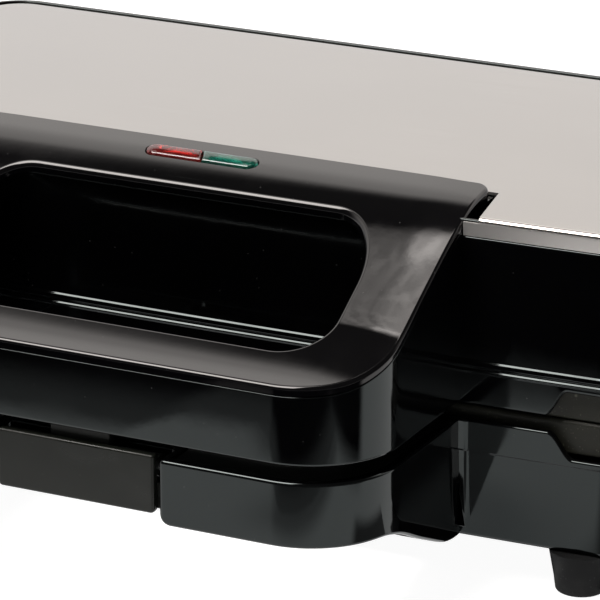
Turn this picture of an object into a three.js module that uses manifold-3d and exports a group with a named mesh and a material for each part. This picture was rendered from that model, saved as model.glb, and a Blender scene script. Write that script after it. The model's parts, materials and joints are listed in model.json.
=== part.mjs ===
// A three-in-one sandwich maker for the worktop: a base and a hinged lid that close over a pair
// of removable sandwich plates, with a looped front handle, a latch and a brushed steel lid cover.
// Millimetres, +Z up, the handle at the front (-Y). Heights count from the worktop, and depths
// from the front wall of the body, until the last lines centre the whole machine on its origin.

import * as THREE from 'three';
import { mergeVertices } from 'three/addons/utils/BufferGeometryUtils.js';
import Module from 'manifold-3d';

const wasm = await Module();
wasm.setup();

// Clearances and thicknesses
const seatGap = 0.3;
const runningGap = 0.5;
const overrun = 6;
const wall = 2.5;
const sheet = 0.8;
const edgeRound = 0.6;

// The body in plan
const bodyWidth = 275;
const bodyDepth = 137;
const frontBow = 2.6;
const frontCorner = 17;
const rearCorner = 13.5;

// Heights of the closed machine
const footHeight = 12.1;
const baseHeight = 34.7;
const splitGap = 4.4;
const lidHeight = 48.4;
const deckRise = 3.2;

// Housing walls: their lean, the base's crease and the lid's bead
const lidDraft = 0.8;
const baseDraft = 1.8;
const bottomRound = 1.2;
const creaseRise = 25.4;
const creaseStep = 0.6;
const beadRise = 9.5;
const beadHeight = 3.4;
const beadProud = 0.5;

// Steam notches round the front corners
const lidNotchStart = 31.3;
const lidNotchRun = 6.6;
const lidNotchHeight = 7.4;
const baseNotchStart = 30.4;
const baseNotchRun = 7.6;
const baseNotchDepth = 7.1;
const notchSideReach = 42;

// The looped handle, shared by the lid and the base
const handleWidth = 163.6;
const handleReach = 63.1;
const handleCorner = 25.4;
const armWidth = 19.8;
const railDepth = 15.3;
const fingerCorner = 13.4;
const handleFrontHeight = 22;
const baseHandleFront = 18.5;
const capThickness = 2;

// The panel that closes the top of the lid's handle
const panelThickness = 2.5;
const panelLap = 20.6;
const panelStand = 3.7;
const panelBackCorner = 4;
const windowLap = 0.6;
const windowBackWidth = 16.1;
const windowBackLength = 22.1;
const reliefRear = 2.5;
const reliefRearWidth = 0.7;
const reliefFrontWidth = 4.9;

// Signal lamps
const lensLength = 34.6;
const lensWidth = 5.9;
const lensSetback = 10.8;
const lensOffset = -1.3;
const lensProud = 0.35;
const lensDepth = 3.4;
const lampRadius = 1.5;
const lampLength = 10;
const holderDepth = 14;
const holderFlange = 2;

// Latch
const latchWidth = 47.4;
const latchOffset = -1.5;
const latchThickness = 2.6;
const latchTopDrop = 3.6;
const latchLift = 2.8;
const latchSideGap = 1.3;
const latchPivotSetback = 4.5;
const latchPivotDrop = 3.3;
const latchBoss = 3;
const latchPinRadius = 1.5;
const latchNoseWidth = 18;
const latchNoseThickness = 2.8;
const latchNoseRise = 4.3;
const latchRecessDepth = 9.5;

// Cast plates
const plateRoom = 0.9;
const plateFace = 4;
const castWall = 3;
const lowerPlateProud = 2.85;
const lowerRimDepth = 6.6;
const upperRimDepth = 10.4;
const pocketDepth = 12;
const pocketDraft = 5;
const pocketCorner = 9;
const pocketRidge = 5;
const pocketSideMargin = 16;
const pocketEndMargin = 14;
const lugWidth = 26;
const lugDepth = 14.6;

// Heaters and reflectors
const elementRadius = 3.3;
const elementBend = 12;
const elementInset = 48;
const elementEndInset = 32;
const terminalSpacing = 44;
const terminalReach = 17;
const flangeInset = 7.5;
const flangeRise = 13.6;
const panInset = 14.4;
const panEndInset = 11;
const panDraft = 3;
const panCorner = 10;

// Plate release slides
const tongueThickness = 2;
const tongueWidth = 16;
const tongueRise = 10.15;
const tongueNose = 0.8;
const padWidth = 24;
const padHeight = 10;
const padThickness = 3;

// Hinge
const hingeSetback = 9.5;
const hingeRadius = 7;
const hingePinRadius = 2.5;
const hingeSpacing = 144;
const earWidth = 13;
const cheekWidth = 5;
const earRise = 27;
const earCornerShare = 0.9;
const earRoundShare = 0.4;
const towerDrop = 31;
const towerKnee = 14;
const lidSwing = 100;

// Feet, bottom cover and fixings
const footRadius = 7;
const footTopRadius = 8.9;
const footFrontInset = 8.5;
const footRearInset = 11;
const footSideInset = 22.6;
const footPegRadius = 2.2;
const footPegBulb = 0.5;
const footPegLength = 2.4;
const bottomCoverWidth = 190;
const bottomCoverDepth = 88;
const bottomCoverSetback = 24;
const bottomCoverLedge = 5;
const ventCount = 9;
const ventWidth = 3;
const ventLength = 26;
const screwRadius = 1.2;
const screwHeadRadius = 2.6;
const screwHeadHeight = 1.8;
const screwLength = 9;
const bossRadius = 3;
const bossSideInset = 10.7;
const bossEndInset = 36;
const ribThickness = 2;
const ribReach = 4;
const postRadius = 2.4;

// Mains side
const glandRadius = 5;
const glandFlangeRadius = 8;
const glandFlange = 2.4;
const glandTail = 11;
const glandTailRadius = 4.6;
const glandBore = 3.3;
const glandRise = 15.5;
const terminalBlockWidth = 32;
const terminalBlockDepth = 14;
const terminalBlockHeight = 9;
const terminalBlockSetback = 7;
const thermostatRadius = 9;
const thermostatHeight = 6;

// How finely round shapes are cut
const cornerSteps = 6;
const coarseSteps = 4;
const bowSteps = 6;
const roundSides = 20;
const smallSides = 10;
const profileSteps = 18;
const undersideSteps = 10;
const elementSteps = 60;
const elementSides = 8;

// Places that follow from the sizes
const quarterTurn = Math.PI / 2;
const halfTurn = Math.PI;
const degree = Math.PI / 180;
const halfWidth = bodyWidth / 2;
const baseBottom = footHeight;
const baseTop = baseBottom + baseHeight;
const lidBottom = baseTop + splitGap;
const lidRim = lidBottom + lidHeight;
const deckTop = lidRim + deckRise;
const deckUnder = lidRim - wall;
const coverTop = deckTop + seatGap + sheet;
const handleFront = -handleReach;
const handleHalf = handleWidth / 2;
const fingerHalf = handleHalf - armWidth;
const fingerFront = handleFront + railDepth;
const frontFace = -frontBow / 2;
const handleBack = wall + frontBow;
const panelFrontHeight = lidBottom + handleFrontHeight;
const panelTop = coverTop + panelStand;
const plateInset = wall + plateRoom;
const lowerFace = baseTop + lowerPlateProud;
const upperFace = lowerFace + seatGap;
const bowlDepth = pocketDepth + castWall;
const elementRise = bowlDepth + seatGap + elementRadius;
const panRise = elementRise + elementRadius + seatGap;
const creaseHeight = baseBottom + creaseRise;
const hingeY = bodyDepth + hingeSetback;
const hingeZ = (baseTop + lidBottom) / 2;
const latchPivotY = handleFront + latchPivotSetback;
const latchPivotZ = baseTop - latchPivotDrop;
const releaseY = bodyDepth / 2;
const baseHandleBottom = baseTop - baseHandleFront;

// Materials
function finish(color, roughness, metalness = 0) {
  return new THREE.MeshStandardMaterial({ color, roughness, metalness });
}
const glossBlack = () => finish(0x0d0d10, 0.12);
const satinBlack = () => finish(0x1a1b1e, 0.5);
const rubberBlack = () => finish(0x151515, 0.9);
const brushedSteel = () => finish(0xc4beb8, 0.35, 1);
const castCoating = () => finish(0x2f302a, 0.7);
const brightSteel = () => finish(0xb8b9bb, 0.3, 1);
const aluminisedSheet = () => finish(0xa9abad, 0.45, 1);
const nylonWhite = () => finish(0xd9d6cc, 0.6);
const clearGlass = () => finish(0xe8e6e0, 0.1);

// Solids: closing a geometry, joining and cutting it, and turning it back into a geometry
function signedVolume(positions, triangles) {
  let volume = 0;
  const corners = [new THREE.Vector3(), new THREE.Vector3(), new THREE.Vector3()];
  for (let i = 0; i < triangles.length; i += 3) {
    corners.forEach((corner, k) => corner.fromArray(positions, triangles[i + k] * 3));
    volume += corners[0].dot(corners[1].clone().cross(corners[2]));
  }
  return volume;
}

function solidOf(geometry) {
  const bare = geometry.clone();
  bare.deleteAttribute('normal');
  bare.deleteAttribute('uv');
  const merged = mergeVertices(bare);
  const index = merged.index.array;
  const triangles = [];
  for (let i = 0; i < index.length; i += 3) {
    const [a, b, c] = [index[i], index[i + 1], index[i + 2]];
    if (a !== b && b !== c && c !== a) {
      triangles.push(a, b, c);
    }
  }
  const vertProperties = new Float32Array(merged.attributes.position.array);
  if (signedVolume(vertProperties, triangles) < 0) {
    triangles.reverse();
  }
  return new wasm.Manifold(new wasm.Mesh({
    numProp: 3,
    vertProperties,
    triVerts: new Uint32Array(triangles),
  }));
}

function geometryOf(solid) {
  const mesh = solid.getMesh();
  const geometry = new THREE.BufferGeometry();
  geometry.setAttribute('position', new THREE.BufferAttribute(new Float32Array(mesh.vertProperties), 3));
  geometry.setIndex(new THREE.BufferAttribute(new Uint32Array(mesh.triVerts), 1));
  geometry.computeVertexNormals();
  return geometry;
}

function join(...solids) {
  return solids.reduce((whole, solid) => whole.add(solid));
}

function cut(solid, ...cutters) {
  return cutters.reduce((left, cutter) => left.subtract(cutter), solid);
}

function addPiece(group, name, shape, material, place = {}) {
  const geometry = shape.isBufferGeometry ? shape : geometryOf(shape);
  const piece = new THREE.Mesh(geometry, material);
  piece.name = name;
  piece.position.set(place.x ?? 0, place.y ?? 0, place.z ?? 0);
  piece.rotation.set(place.turnX ?? 0, place.turnY ?? 0, place.turnZ ?? 0);
  group.add(piece);
  return piece;
}

// Outlines are rings of [x, y] points that run anticlockwise seen from above
function addArc(ring, x, y, radiusX, radiusY, start, steps = cornerSteps) {
  for (let i = 0; i <= steps; i += 1) {
    const angle = start + (quarterTurn * i) / steps;
    ring.push([x + radiusX * Math.cos(angle), y + radiusY * Math.sin(angle)]);
  }
}

function roundedRectangle(left, right, front, back, radius, backRadius = radius, steps = coarseSteps) {
  const ring = [];
  addArc(ring, right - radius, front + radius, radius, radius, -quarterTurn, steps);
  addArc(ring, right - backRadius, back - backRadius, backRadius, backRadius, 0, steps);
  addArc(ring, left + backRadius, back - backRadius, backRadius, backRadius, quarterTurn, steps);
  addArc(ring, left + radius, front + radius, radius, radius, 2 * quarterTurn, steps);
  return ring;
}

// Depth of the bowed front line at a distance from the middle of the body
function frontLine(x, inset) {
  const share = x / (halfWidth - frontCorner);
  return frontBow / 2 + inset - frontBow * (1 - share * share);
}

function bodyOutline(inset) {
  const side = halfWidth - inset;
  const back = bodyDepth - inset;
  const frontEnd = frontBow / 2 + inset;
  const ring = roundedRectangle(
    -side, side, frontEnd, back, frontCorner - inset, rearCorner - inset, cornerSteps,
  );
  const span = halfWidth - frontCorner;
  for (let i = 1; i < bowSteps; i += 1) {
    const x = span * ((2 * i) / bowSteps - 1);
    ring.push([x, frontLine(x, inset)]);
  }
  return ring;
}

function handleOutline(inset, back) {
  const side = handleHalf - inset;
  const radius = handleCorner - inset;
  const ring = [];
  addArc(ring, side - radius, handleFront + inset + radius, radius, radius, -quarterTurn);
  ring.push([side, back], [-side, back]);
  addArc(ring, radius - side, handleFront + inset + radius, radius, radius, 2 * quarterTurn);
  return ring;
}

function fingerOutline(outset) {
  const side = fingerHalf + outset;
  const radius = fingerCorner + outset;
  return roundedRectangle(-side, side, fingerFront - outset, outset, radius, radius, cornerSteps);
}

function windowOutline() {
  const ring = [];
  const back = frontFace - windowLap;
  const front = fingerFront + fingerCorner;
  addArc(ring, fingerHalf - fingerCorner, front, fingerCorner, fingerCorner, -quarterTurn);
  const cornerX = fingerHalf - windowBackWidth;
  addArc(ring, cornerX, back - windowBackLength, windowBackWidth, windowBackLength, 0);
  addArc(ring, -cornerX, back - windowBackLength, windowBackWidth, windowBackLength, quarterTurn);
  addArc(ring, fingerCorner - fingerHalf, front, fingerCorner, fingerCorner, 2 * quarterTurn);
  return ring;
}

function roundedTriangle(corners, inset, radius) {
  const middle = corners.map((corner, i) => {
    const before = corners[(i + 2) % 3];
    const after = corners[(i + 1) % 3];
    const incoming = corner.clone().sub(before).normalize();
    const outgoing = after.clone().sub(corner).normalize();
    const sine = incoming.cross(outgoing);
    const bisector = outgoing.clone().sub(incoming);
    return corner.clone().add(bisector.multiplyScalar((inset + radius) / sine));
  });
  const ring = [];
  middle.forEach((centre, i) => {
    const incoming = centre.clone().sub(middle[(i + 2) % 3]).angle() - quarterTurn;
    let outgoing = middle[(i + 1) % 3].clone().sub(centre).angle() - quarterTurn;
    while (outgoing < incoming) {
      outgoing += 4 * quarterTurn;
    }
    for (let k = 0; k <= cornerSteps - 2; k += 1) {
      const angle = incoming + ((outgoing - incoming) * k) / (cornerSteps - 2);
      ring.push([centre.x + radius * Math.cos(angle), centre.y + radius * Math.sin(angle)]);
    }
  });
  return ring;
}

// A loft through rings of equal length, each at its own height
function loft(levels) {
  const count = levels[0][1].length;
  const positions = [];
  const index = [];
  levels.forEach(([height, ring]) => ring.forEach(([x, y]) => positions.push(x, y, height)));
  for (let level = 0; level + 1 < levels.length; level += 1) {
    for (let i = 0; i < count; i += 1) {
      const a = level * count + i;
      const b = level * count + ((i + 1) % count);
      index.push(a, b, b + count, a, b + count, a + count);
    }
  }
  const top = (levels.length - 1) * count;
  const contour = (ring) => ring.map(([x, y]) => new THREE.Vector2(x, y));
  THREE.ShapeUtils.triangulateShape(contour(levels[0][1]), []).forEach(([a, b, c]) => {
    index.push(a, c, b);
  });
  THREE.ShapeUtils.triangulateShape(contour(levels.at(-1)[1]), []).forEach(([a, b, c]) => {
    index.push(top + a, top + b, top + c);
  });
  const geometry = new THREE.BufferGeometry();
  geometry.setAttribute('position', new THREE.Float32BufferAttribute(positions, 3));
  geometry.setIndex(index);
  return solidOf(geometry);
}

function prismZ(ring, from, to) {
  return loft([[from, ring], [to, ring]]);
}

function bodyLoft(levels) {
  return loft(levels.map(([height, inset]) => [height, bodyOutline(inset)]));
}

// Extrusions of a side outline across the machine, and of a front outline along its depth
function extrude(points, depth) {
  const shape = new THREE.Shape(points.map(([u, v]) => new THREE.Vector2(u, v)));
  return new THREE.ExtrudeGeometry(shape, { depth, bevelEnabled: false });
}

function prismX(points, from, to) {
  const geometry = extrude(points, to - from);
  const axes = [new THREE.Vector3(0, 1, 0), new THREE.Vector3(0, 0, 1), new THREE.Vector3(1, 0, 0)];
  geometry.applyMatrix4(new THREE.Matrix4().makeBasis(...axes));
  geometry.translate(from, 0, 0);
  return solidOf(geometry);
}

function prismY(points, from, to) {
  const geometry = extrude(points, to - from);
  const axes = [new THREE.Vector3(1, 0, 0), new THREE.Vector3(0, 0, 1), new THREE.Vector3(0, -1, 0)];
  geometry.applyMatrix4(new THREE.Matrix4().makeBasis(...axes));
  geometry.translate(0, to, 0);
  return solidOf(geometry);
}

function box(left, right, front, back, bottom, top) {
  const geometry = new THREE.BoxGeometry(right - left, back - front, top - bottom);
  geometry.translate((left + right) / 2, (front + back) / 2, (bottom + top) / 2);
  return solidOf(geometry);
}

function rodZ(x, y, radius, bottom, top) {
  const geometry = new THREE.CylinderGeometry(radius, radius, top - bottom, smallSides);
  geometry.rotateX(quarterTurn);
  geometry.translate(x, y, (bottom + top) / 2);
  return solidOf(geometry);
}

function rodX(y, z, radius, left, right) {
  const geometry = new THREE.CylinderGeometry(radius, radius, right - left, roundSides);
  geometry.rotateZ(quarterTurn);
  geometry.translate((left + right) / 2, y, z);
  return solidOf(geometry);
}

function turned(profile, sides = smallSides) {
  const points = profile.map(([radius, height]) => new THREE.Vector2(radius, height));
  const geometry = new THREE.LatheGeometry(points, sides);
  geometry.rotateX(quarterTurn);
  return solidOf(geometry);
}

// The handle panel's side outline: shares of its depth and of its rise, front to back
const panelShares = [
  [0, 0], [0.061, 0.0205], [0.097, 0.0405], [0.1445, 0.0785], [0.216, 0.147], [0.3, 0.237],
  [0.36, 0.314], [0.455, 0.449], [0.563, 0.5985], [0.658, 0.7265], [0.718, 0.805],
  [0.754, 0.8475], [0.802, 0.898], [0.8375, 0.93], [0.8735, 0.954], [0.909, 0.97], [1, 1],
];

function panelCurve(lift) {
  const depth = panelLap - handleFront;
  const rise = panelTop - panelFrontHeight;
  const knots = panelShares.map(([along, up]) => (
    new THREE.Vector2(handleFront + depth * along, panelFrontHeight + rise * up + lift)
  ));
  return new THREE.SplineCurve(knots).getPoints(profileSteps).map(({ x, y }) => [x, y]);
}

function panelBand(topLift, bottomLift, half) {
  const outline = [...panelCurve(bottomLift), ...panelCurve(topLift).reverse()];
  return prismX(outline, -half, half);
}

// All that lies above the underside of the panel, for trimming the pieces beneath it
function panelRoom() {
  const under = panelCurve(-panelThickness - seatGap);
  const first = under[0];
  const last = under.at(-1);
  const outline = [
    [first[0] - overrun, first[1]],
    ...under,
    [last[0] + seatGap, last[1]],
    [last[0] + seatGap, panelTop + overrun],
    [first[0] - overrun, panelTop + overrun],
  ];
  return prismX(outline, -handleHalf - seatGap, handleHalf + seatGap);
}

// The base handle's underside: shares of its reach and of its drop, front to back
const undersideShares = [
  [0, 1], [0.17, 1.004], [0.29, 1.004], [0.35, 0.965], [0.43, 0.865], [0.5, 0.745],
  [0.6165, 0.52], [0.7385, 0.305], [0.82, 0.165], [0.89, 0.065], [0.95, 0.015], [1, 0],
];

function aboveUnderside(lift) {
  const drop = baseHandleBottom - baseBottom;
  const knots = undersideShares.map(([along, up]) => (
    new THREE.Vector2(handleFront + handleReach * along, baseBottom + drop * up + lift)
  ));
  const curve = new THREE.SplineCurve(knots).getPoints(undersideSteps).map(({ x, y }) => [x, y]);
  const outline = [
    [handleFront - overrun, baseHandleBottom + lift],
    ...curve,
    [handleBack + overrun, baseBottom + lift],
    [handleBack + overrun, baseTop + overrun],
    [handleFront - overrun, baseTop + overrun],
  ];
  return prismX(outline, -handleHalf - overrun, handleHalf + overrun);
}

// Steam notch: an S-shaped step in the edge, along the front and round both corners
function notchCutter(edge, depth, setback, run) {
  const away = Math.sign(depth);
  const start = halfWidth - setback;
  const sCurve = [];
  for (let i = 0; i <= cornerSteps; i += 1) {
    const share = i / cornerSteps;
    sCurve.push([run * share, edge + (depth * (1 - Math.cos(share * Math.PI))) / 2]);
  }
  const far = halfWidth + overrun;
  const clear = edge - away * overrun;
  const frontSide = [[start, clear]];
  sCurve.forEach(([along, height]) => frontSide.push([start + along, height]));
  frontSide.push([far, edge + depth], [far, clear]);
  const flank = [[notchSideReach, clear]];
  sCurve.forEach(([along, height]) => flank.push([notchSideReach - along, height]));
  flank.push([-overrun, edge + depth], [-overrun, clear]);
  const mirrored = (points) => points.map(([u, v]) => [-u, v]);
  const inner = halfWidth - frontCorner;
  return join(
    prismY(frontSide, -overrun, frontCorner),
    prismY(mirrored(frontSide), -overrun, frontCorner),
    prismX(flank, inner, far),
    prismX(flank, -far, -inner),
  );
}

// Ribs inside a housing that a plate's rim rests on
function plateRibs(rimEdge, foot) {
  const low = Math.min(rimEdge, foot);
  const high = Math.max(rimEdge, foot);
  const inner = halfWidth - wall - ribReach;
  const outer = halfWidth - wall / 2;
  const frontX = halfWidth - lidNotchStart - ribReach - ribThickness;
  const ribs = [];
  [-1, 1].forEach((side) => {
    [notchSideReach + ribReach, bodyDepth - notchSideReach - ribReach].forEach((y) => {
      const [left, right] = side > 0 ? [inner, outer] : [-outer, -inner];
      ribs.push(box(left, right, y - ribThickness / 2, y + ribThickness / 2, low, high));
    });
    [frontX, frontX / 2].forEach((x) => {
      const left = side * x - ribThickness / 2;
      const front = frontLine(x, wall / 2);
      ribs.push(box(left, left + ribThickness, front, front + wall / 2 + ribReach, low, high));
      const back = bodyDepth - wall;
      ribs.push(box(left, left + ribThickness, back - ribReach, back + wall / 2, low, high));
    });
  });
  return join(...ribs);
}

const screwPlaces = [-1, 1].flatMap((side) => (
  [bossEndInset, bodyDepth - bossEndInset].map((y) => [side * (halfWidth - bossSideInset), y])
));

function bossesAt(places, radius, from, to) {
  return join(...places.map(([x, y]) => rodZ(x, y, radius, from, to)));
}

// Slots through the side walls for the release slides
function slideSlots(centre) {
  const high = tongueThickness / 2 + seatGap;
  const half = tongueWidth / 2 + seatGap;
  const slot = (left, right) => (
    box(left, right, releaseY - half, releaseY + half, centre - high, centre + high)
  );
  const inner = halfWidth - wall - overrun;
  const outer = halfWidth + overrun;
  return join(slot(inner, outer), slot(-outer, -inner));
}

function handleBlock(levels) {
  return loft(levels.map(([height, inset]) => [height, handleOutline(inset, handleBack)]));
}

function handleCavity(inset, from, to) {
  const back = frontFace - wall / 2 - (inset - wall);
  return cut(
    prismZ(handleOutline(inset, back), from, to),
    prismZ(fingerOutline(inset), from - overrun, to + overrun),
  );
}

const lowerTongue = lowerFace - tongueRise - tongueThickness / 2;
const upperTongue = upperFace + tongueRise + tongueThickness / 2;
const latchRecessHalf = latchWidth / 2 + latchSideGap;
const latchBlockHalf = latchRecessHalf + wall;
const latchRecessBack = handleFront + latchRecessDepth;
const capTop = baseTop - edgeRound;
const capPosts = [-1, 1].flatMap((side) => [
  [side * (handleHalf - armWidth / 2), frontFace - armWidth / 2],
  [side * (handleHalf - armWidth / 2), fingerFront],
  [(side * (handleHalf + latchBlockHalf) + latchOffset) / 2, handleFront + railDepth / 2],
]);
const footX = halfWidth - footSideInset;
const footPlaces = [
  ['front_left', -footX, footFrontInset],
  ['front_right', footX, footFrontInset],
  ['rear_left', -footX, bodyDepth - footRearInset],
  ['rear_right', footX, bodyDepth - footRearInset],
];
const glandZ = baseBottom + glandRise;
const floorTop = baseBottom + wall;
const coverLeft = -bottomCoverWidth / 2;
const coverBack = bottomCoverSetback + bottomCoverDepth;
const coverScrewInset = bottomCoverLedge + screwHeadRadius;
const coverScrewX = bottomCoverWidth / 2 - coverScrewInset;
const coverScrews = [-coverScrewX, coverScrewX].flatMap((x) => (
  [bottomCoverSetback + coverScrewInset, coverBack - coverScrewInset].map((y) => [x, y])
));

// The bottom cover's outline, inset for the opening above it and outset for its seat
function coverOutline(inset, radius = frontCorner) {
  return roundedRectangle(
    coverLeft + inset, -coverLeft - inset, bottomCoverSetback + inset, coverBack - inset, radius,
  );
}

// Hinge: the ear's outer corner meets the shelf between the cheeks when the lid is fully open
const earCorner = [hingeRadius * earCornerShare, hingeRadius];
const openAngle = lidSwing * degree;
const earCornerDrop = earCorner[0] * Math.sin(openAngle) - earCorner[1] * Math.cos(openAngle);
const shelfTop = hingeZ - earCornerDrop - runningGap;
const hingePlaces = [-hingeSpacing / 2, hingeSpacing / 2];

function hingeTower(x) {
  const cheekOutline = [
    [bodyDepth - wall, hingeZ - towerDrop],
    [bodyDepth, hingeZ - towerDrop],
    [hingeY + hingeRadius, hingeZ - towerKnee],
  ];
  for (let i = 0; i <= 2 * cornerSteps; i += 1) {
    const angle = (quarterTurn * i) / cornerSteps;
    cheekOutline.push([hingeY + hingeRadius * Math.cos(angle), hingeZ + hingeRadius * Math.sin(angle)]);
  }
  cheekOutline.push([bodyDepth - wall, baseTop - edgeRound - hingeRadius]);
  const inner = earWidth / 2 + runningGap;
  const outer = inner + cheekWidth;
  const shelf = box(
    x - outer, x + outer, bodyDepth - wall, hingeY + hingeRadius, shelfTop - wall, shelfTop,
  );
  const tower = join(
    prismX(cheekOutline, x - outer, x - inner),
    prismX(cheekOutline, x + inner, x + outer),
    shelf,
  );
  return cut(
    tower,
    rodX(hingeY, hingeZ, hingePinRadius + seatGap, x - outer - overrun, x + outer + overrun),
  );
}

function hingeEar(x) {
  const outline = [[bodyDepth - lidDraft - wall, lidBottom + edgeRound]];
  for (let i = 0; i <= 2 * cornerSteps; i += 1) {
    const angle = quarterTurn * (2 + earRoundShare + i / cornerSteps);
    outline.push([hingeY + hingeRadius * Math.cos(angle), hingeZ + hingeRadius * Math.sin(angle)]);
  }
  outline.push([hingeY + earCorner[0], hingeZ + earCorner[1]]);
  outline.push([bodyDepth + wall, hingeZ + earRise]);
  outline.push([bodyDepth - lidDraft - wall, hingeZ + earRise]);
  const half = earWidth / 2;
  return cut(
    prismX(outline, x - half, x + half),
    rodX(hingeY, hingeZ, hingePinRadius + seatGap, x - half - overrun, x + half + overrun),
  );
}

// Base housing: a drafted tub with the lower half of the handle, the latch recess and the hinge towers
function baseHousing() {
  const tub = bodyLoft([
    [baseBottom, baseDraft + bottomRound],
    [baseBottom + bottomRound, baseDraft],
    [creaseHeight, creaseStep],
    [creaseHeight + creaseStep, 0],
    [baseTop - edgeRound, 0],
    [baseTop, edgeRound],
  ]);
  const block = handleBlock([
    [baseBottom - overrun, 0],
    [baseTop - edgeRound, 0],
    [baseTop, edgeRound],
  ]).intersect(aboveUnderside(0));
  const fingerHole = prismZ(fingerOutline(0), baseBottom - overrun, baseTop + overrun);
  const loop = cut(block, fingerHole);
  const hollow = bodyLoft([
    [floorTop, baseDraft + wall],
    [creaseHeight, creaseStep + wall],
    [creaseHeight + creaseStep, wall],
    [baseTop + overrun, wall],
  ]);
  const solidMiddle = box(
    latchOffset - latchBlockHalf, latchOffset + latchBlockHalf, handleFront - overrun, fingerFront,
    baseBottom, baseTop + overrun,
  );
  const handleHollow = cut(
    handleCavity(wall, baseBottom, baseTop + overrun).intersect(aboveUnderside(wall)),
    solidMiddle,
  );
  const posts = bossesAt(capPosts, postRadius, baseBottom, capTop - capThickness - seatGap);
  const recess = box(
    latchOffset - latchRecessHalf, latchOffset + latchRecessHalf, handleFront - overrun, latchRecessBack,
    baseBottom, baseTop + overrun,
  );
  const pinRoom = latchPinRadius + seatGap;
  const pinHole = rodX(
    latchPivotY, latchPivotZ, pinRoom,
    latchOffset - latchBlockHalf - seatGap, latchOffset + latchBlockHalf + seatGap,
  );
  const panBosses = bossesAt(
    screwPlaces, bossRadius, baseBottom + wall / 2, lowerFace - flangeRise - sheet - seatGap,
  );
  const panPilots = bossesAt(
    screwPlaces, screwRadius + seatGap, lowerFace - flangeRise - screwLength, baseTop,
  );
  const ledge = prismZ(coverOutline(-wall), baseBottom + wall / 2, floorTop + wall);
  const opening = prismZ(coverOutline(bottomCoverLedge), baseBottom - overrun, floorTop + overrun);
  const coverBosses = bossesAt(coverScrews, bossRadius, floorTop, floorTop + screwLength);
  const coverSeat = prismZ(coverOutline(0), baseBottom - overrun, floorTop);
  const coverPilots = bossesAt(
    coverScrews, screwRadius + seatGap, baseBottom, floorTop + screwLength - wall,
  );
  const pegHoles = bossesAt(
    footPlaces.map(([, x, y]) => [x, y]), footPegRadius + seatGap, baseBottom - overrun, floorTop + overrun,
  );
  const glandHole = new THREE.CylinderGeometry(
    glandRadius + seatGap, glandRadius + seatGap, 2 * overrun, roundSides,
  );
  glandHole.translate(0, bodyDepth, glandZ);
  const shell = cut(join(tub, loop), hollow, handleHollow);
  const postsInside = posts
    .intersect(handleCavity(wall, baseBottom, baseTop))
    .intersect(aboveUnderside(0));
  const fitted = join(
    cut(join(shell, ledge), opening),
    postsInside,
    panBosses,
    coverBosses,
    plateRibs(lowerFace - lowerRimDepth - seatGap, baseBottom + wall / 2).intersect(tub),
    ...hingePlaces.map(hingeTower),
  );
  return cut(
    fitted, recess, pinHole, panPilots, coverSeat, coverPilots, pegHoles, solidOf(glandHole),
    slideSlots(lowerTongue), notchCutter(baseTop, -baseNotchDepth, baseNotchStart, baseNotchRun),
  );
}

// Caps that close the two hollow halves of the base handle from above
function handleCap(side) {
  const room = wall + seatGap;
  const blockHalf = latchBlockHalf + seatGap;
  const half = side > 0
    ? box(latchOffset + blockHalf, halfWidth, -bodyDepth, bodyDepth, capTop - capThickness, capTop)
    : box(-halfWidth, latchOffset - blockHalf, -bodyDepth, bodyDepth, capTop - capThickness, capTop);
  return handleCavity(room, capTop - capThickness, capTop).intersect(half);
}

// The lamp slot's outline, inset for what fits in it and outset for the holes round it
function lensPrism(inset, from, to) {
  const ring = roundedRectangle(
    lensOffset + inset - lensLength / 2, lensOffset + lensLength / 2 - inset,
    lensSetback - lensWidth / 2 + inset, lensSetback + lensWidth / 2 - inset, lensWidth / 2 - inset,
  );
  return prismZ(ring, from, to);
}

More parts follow.
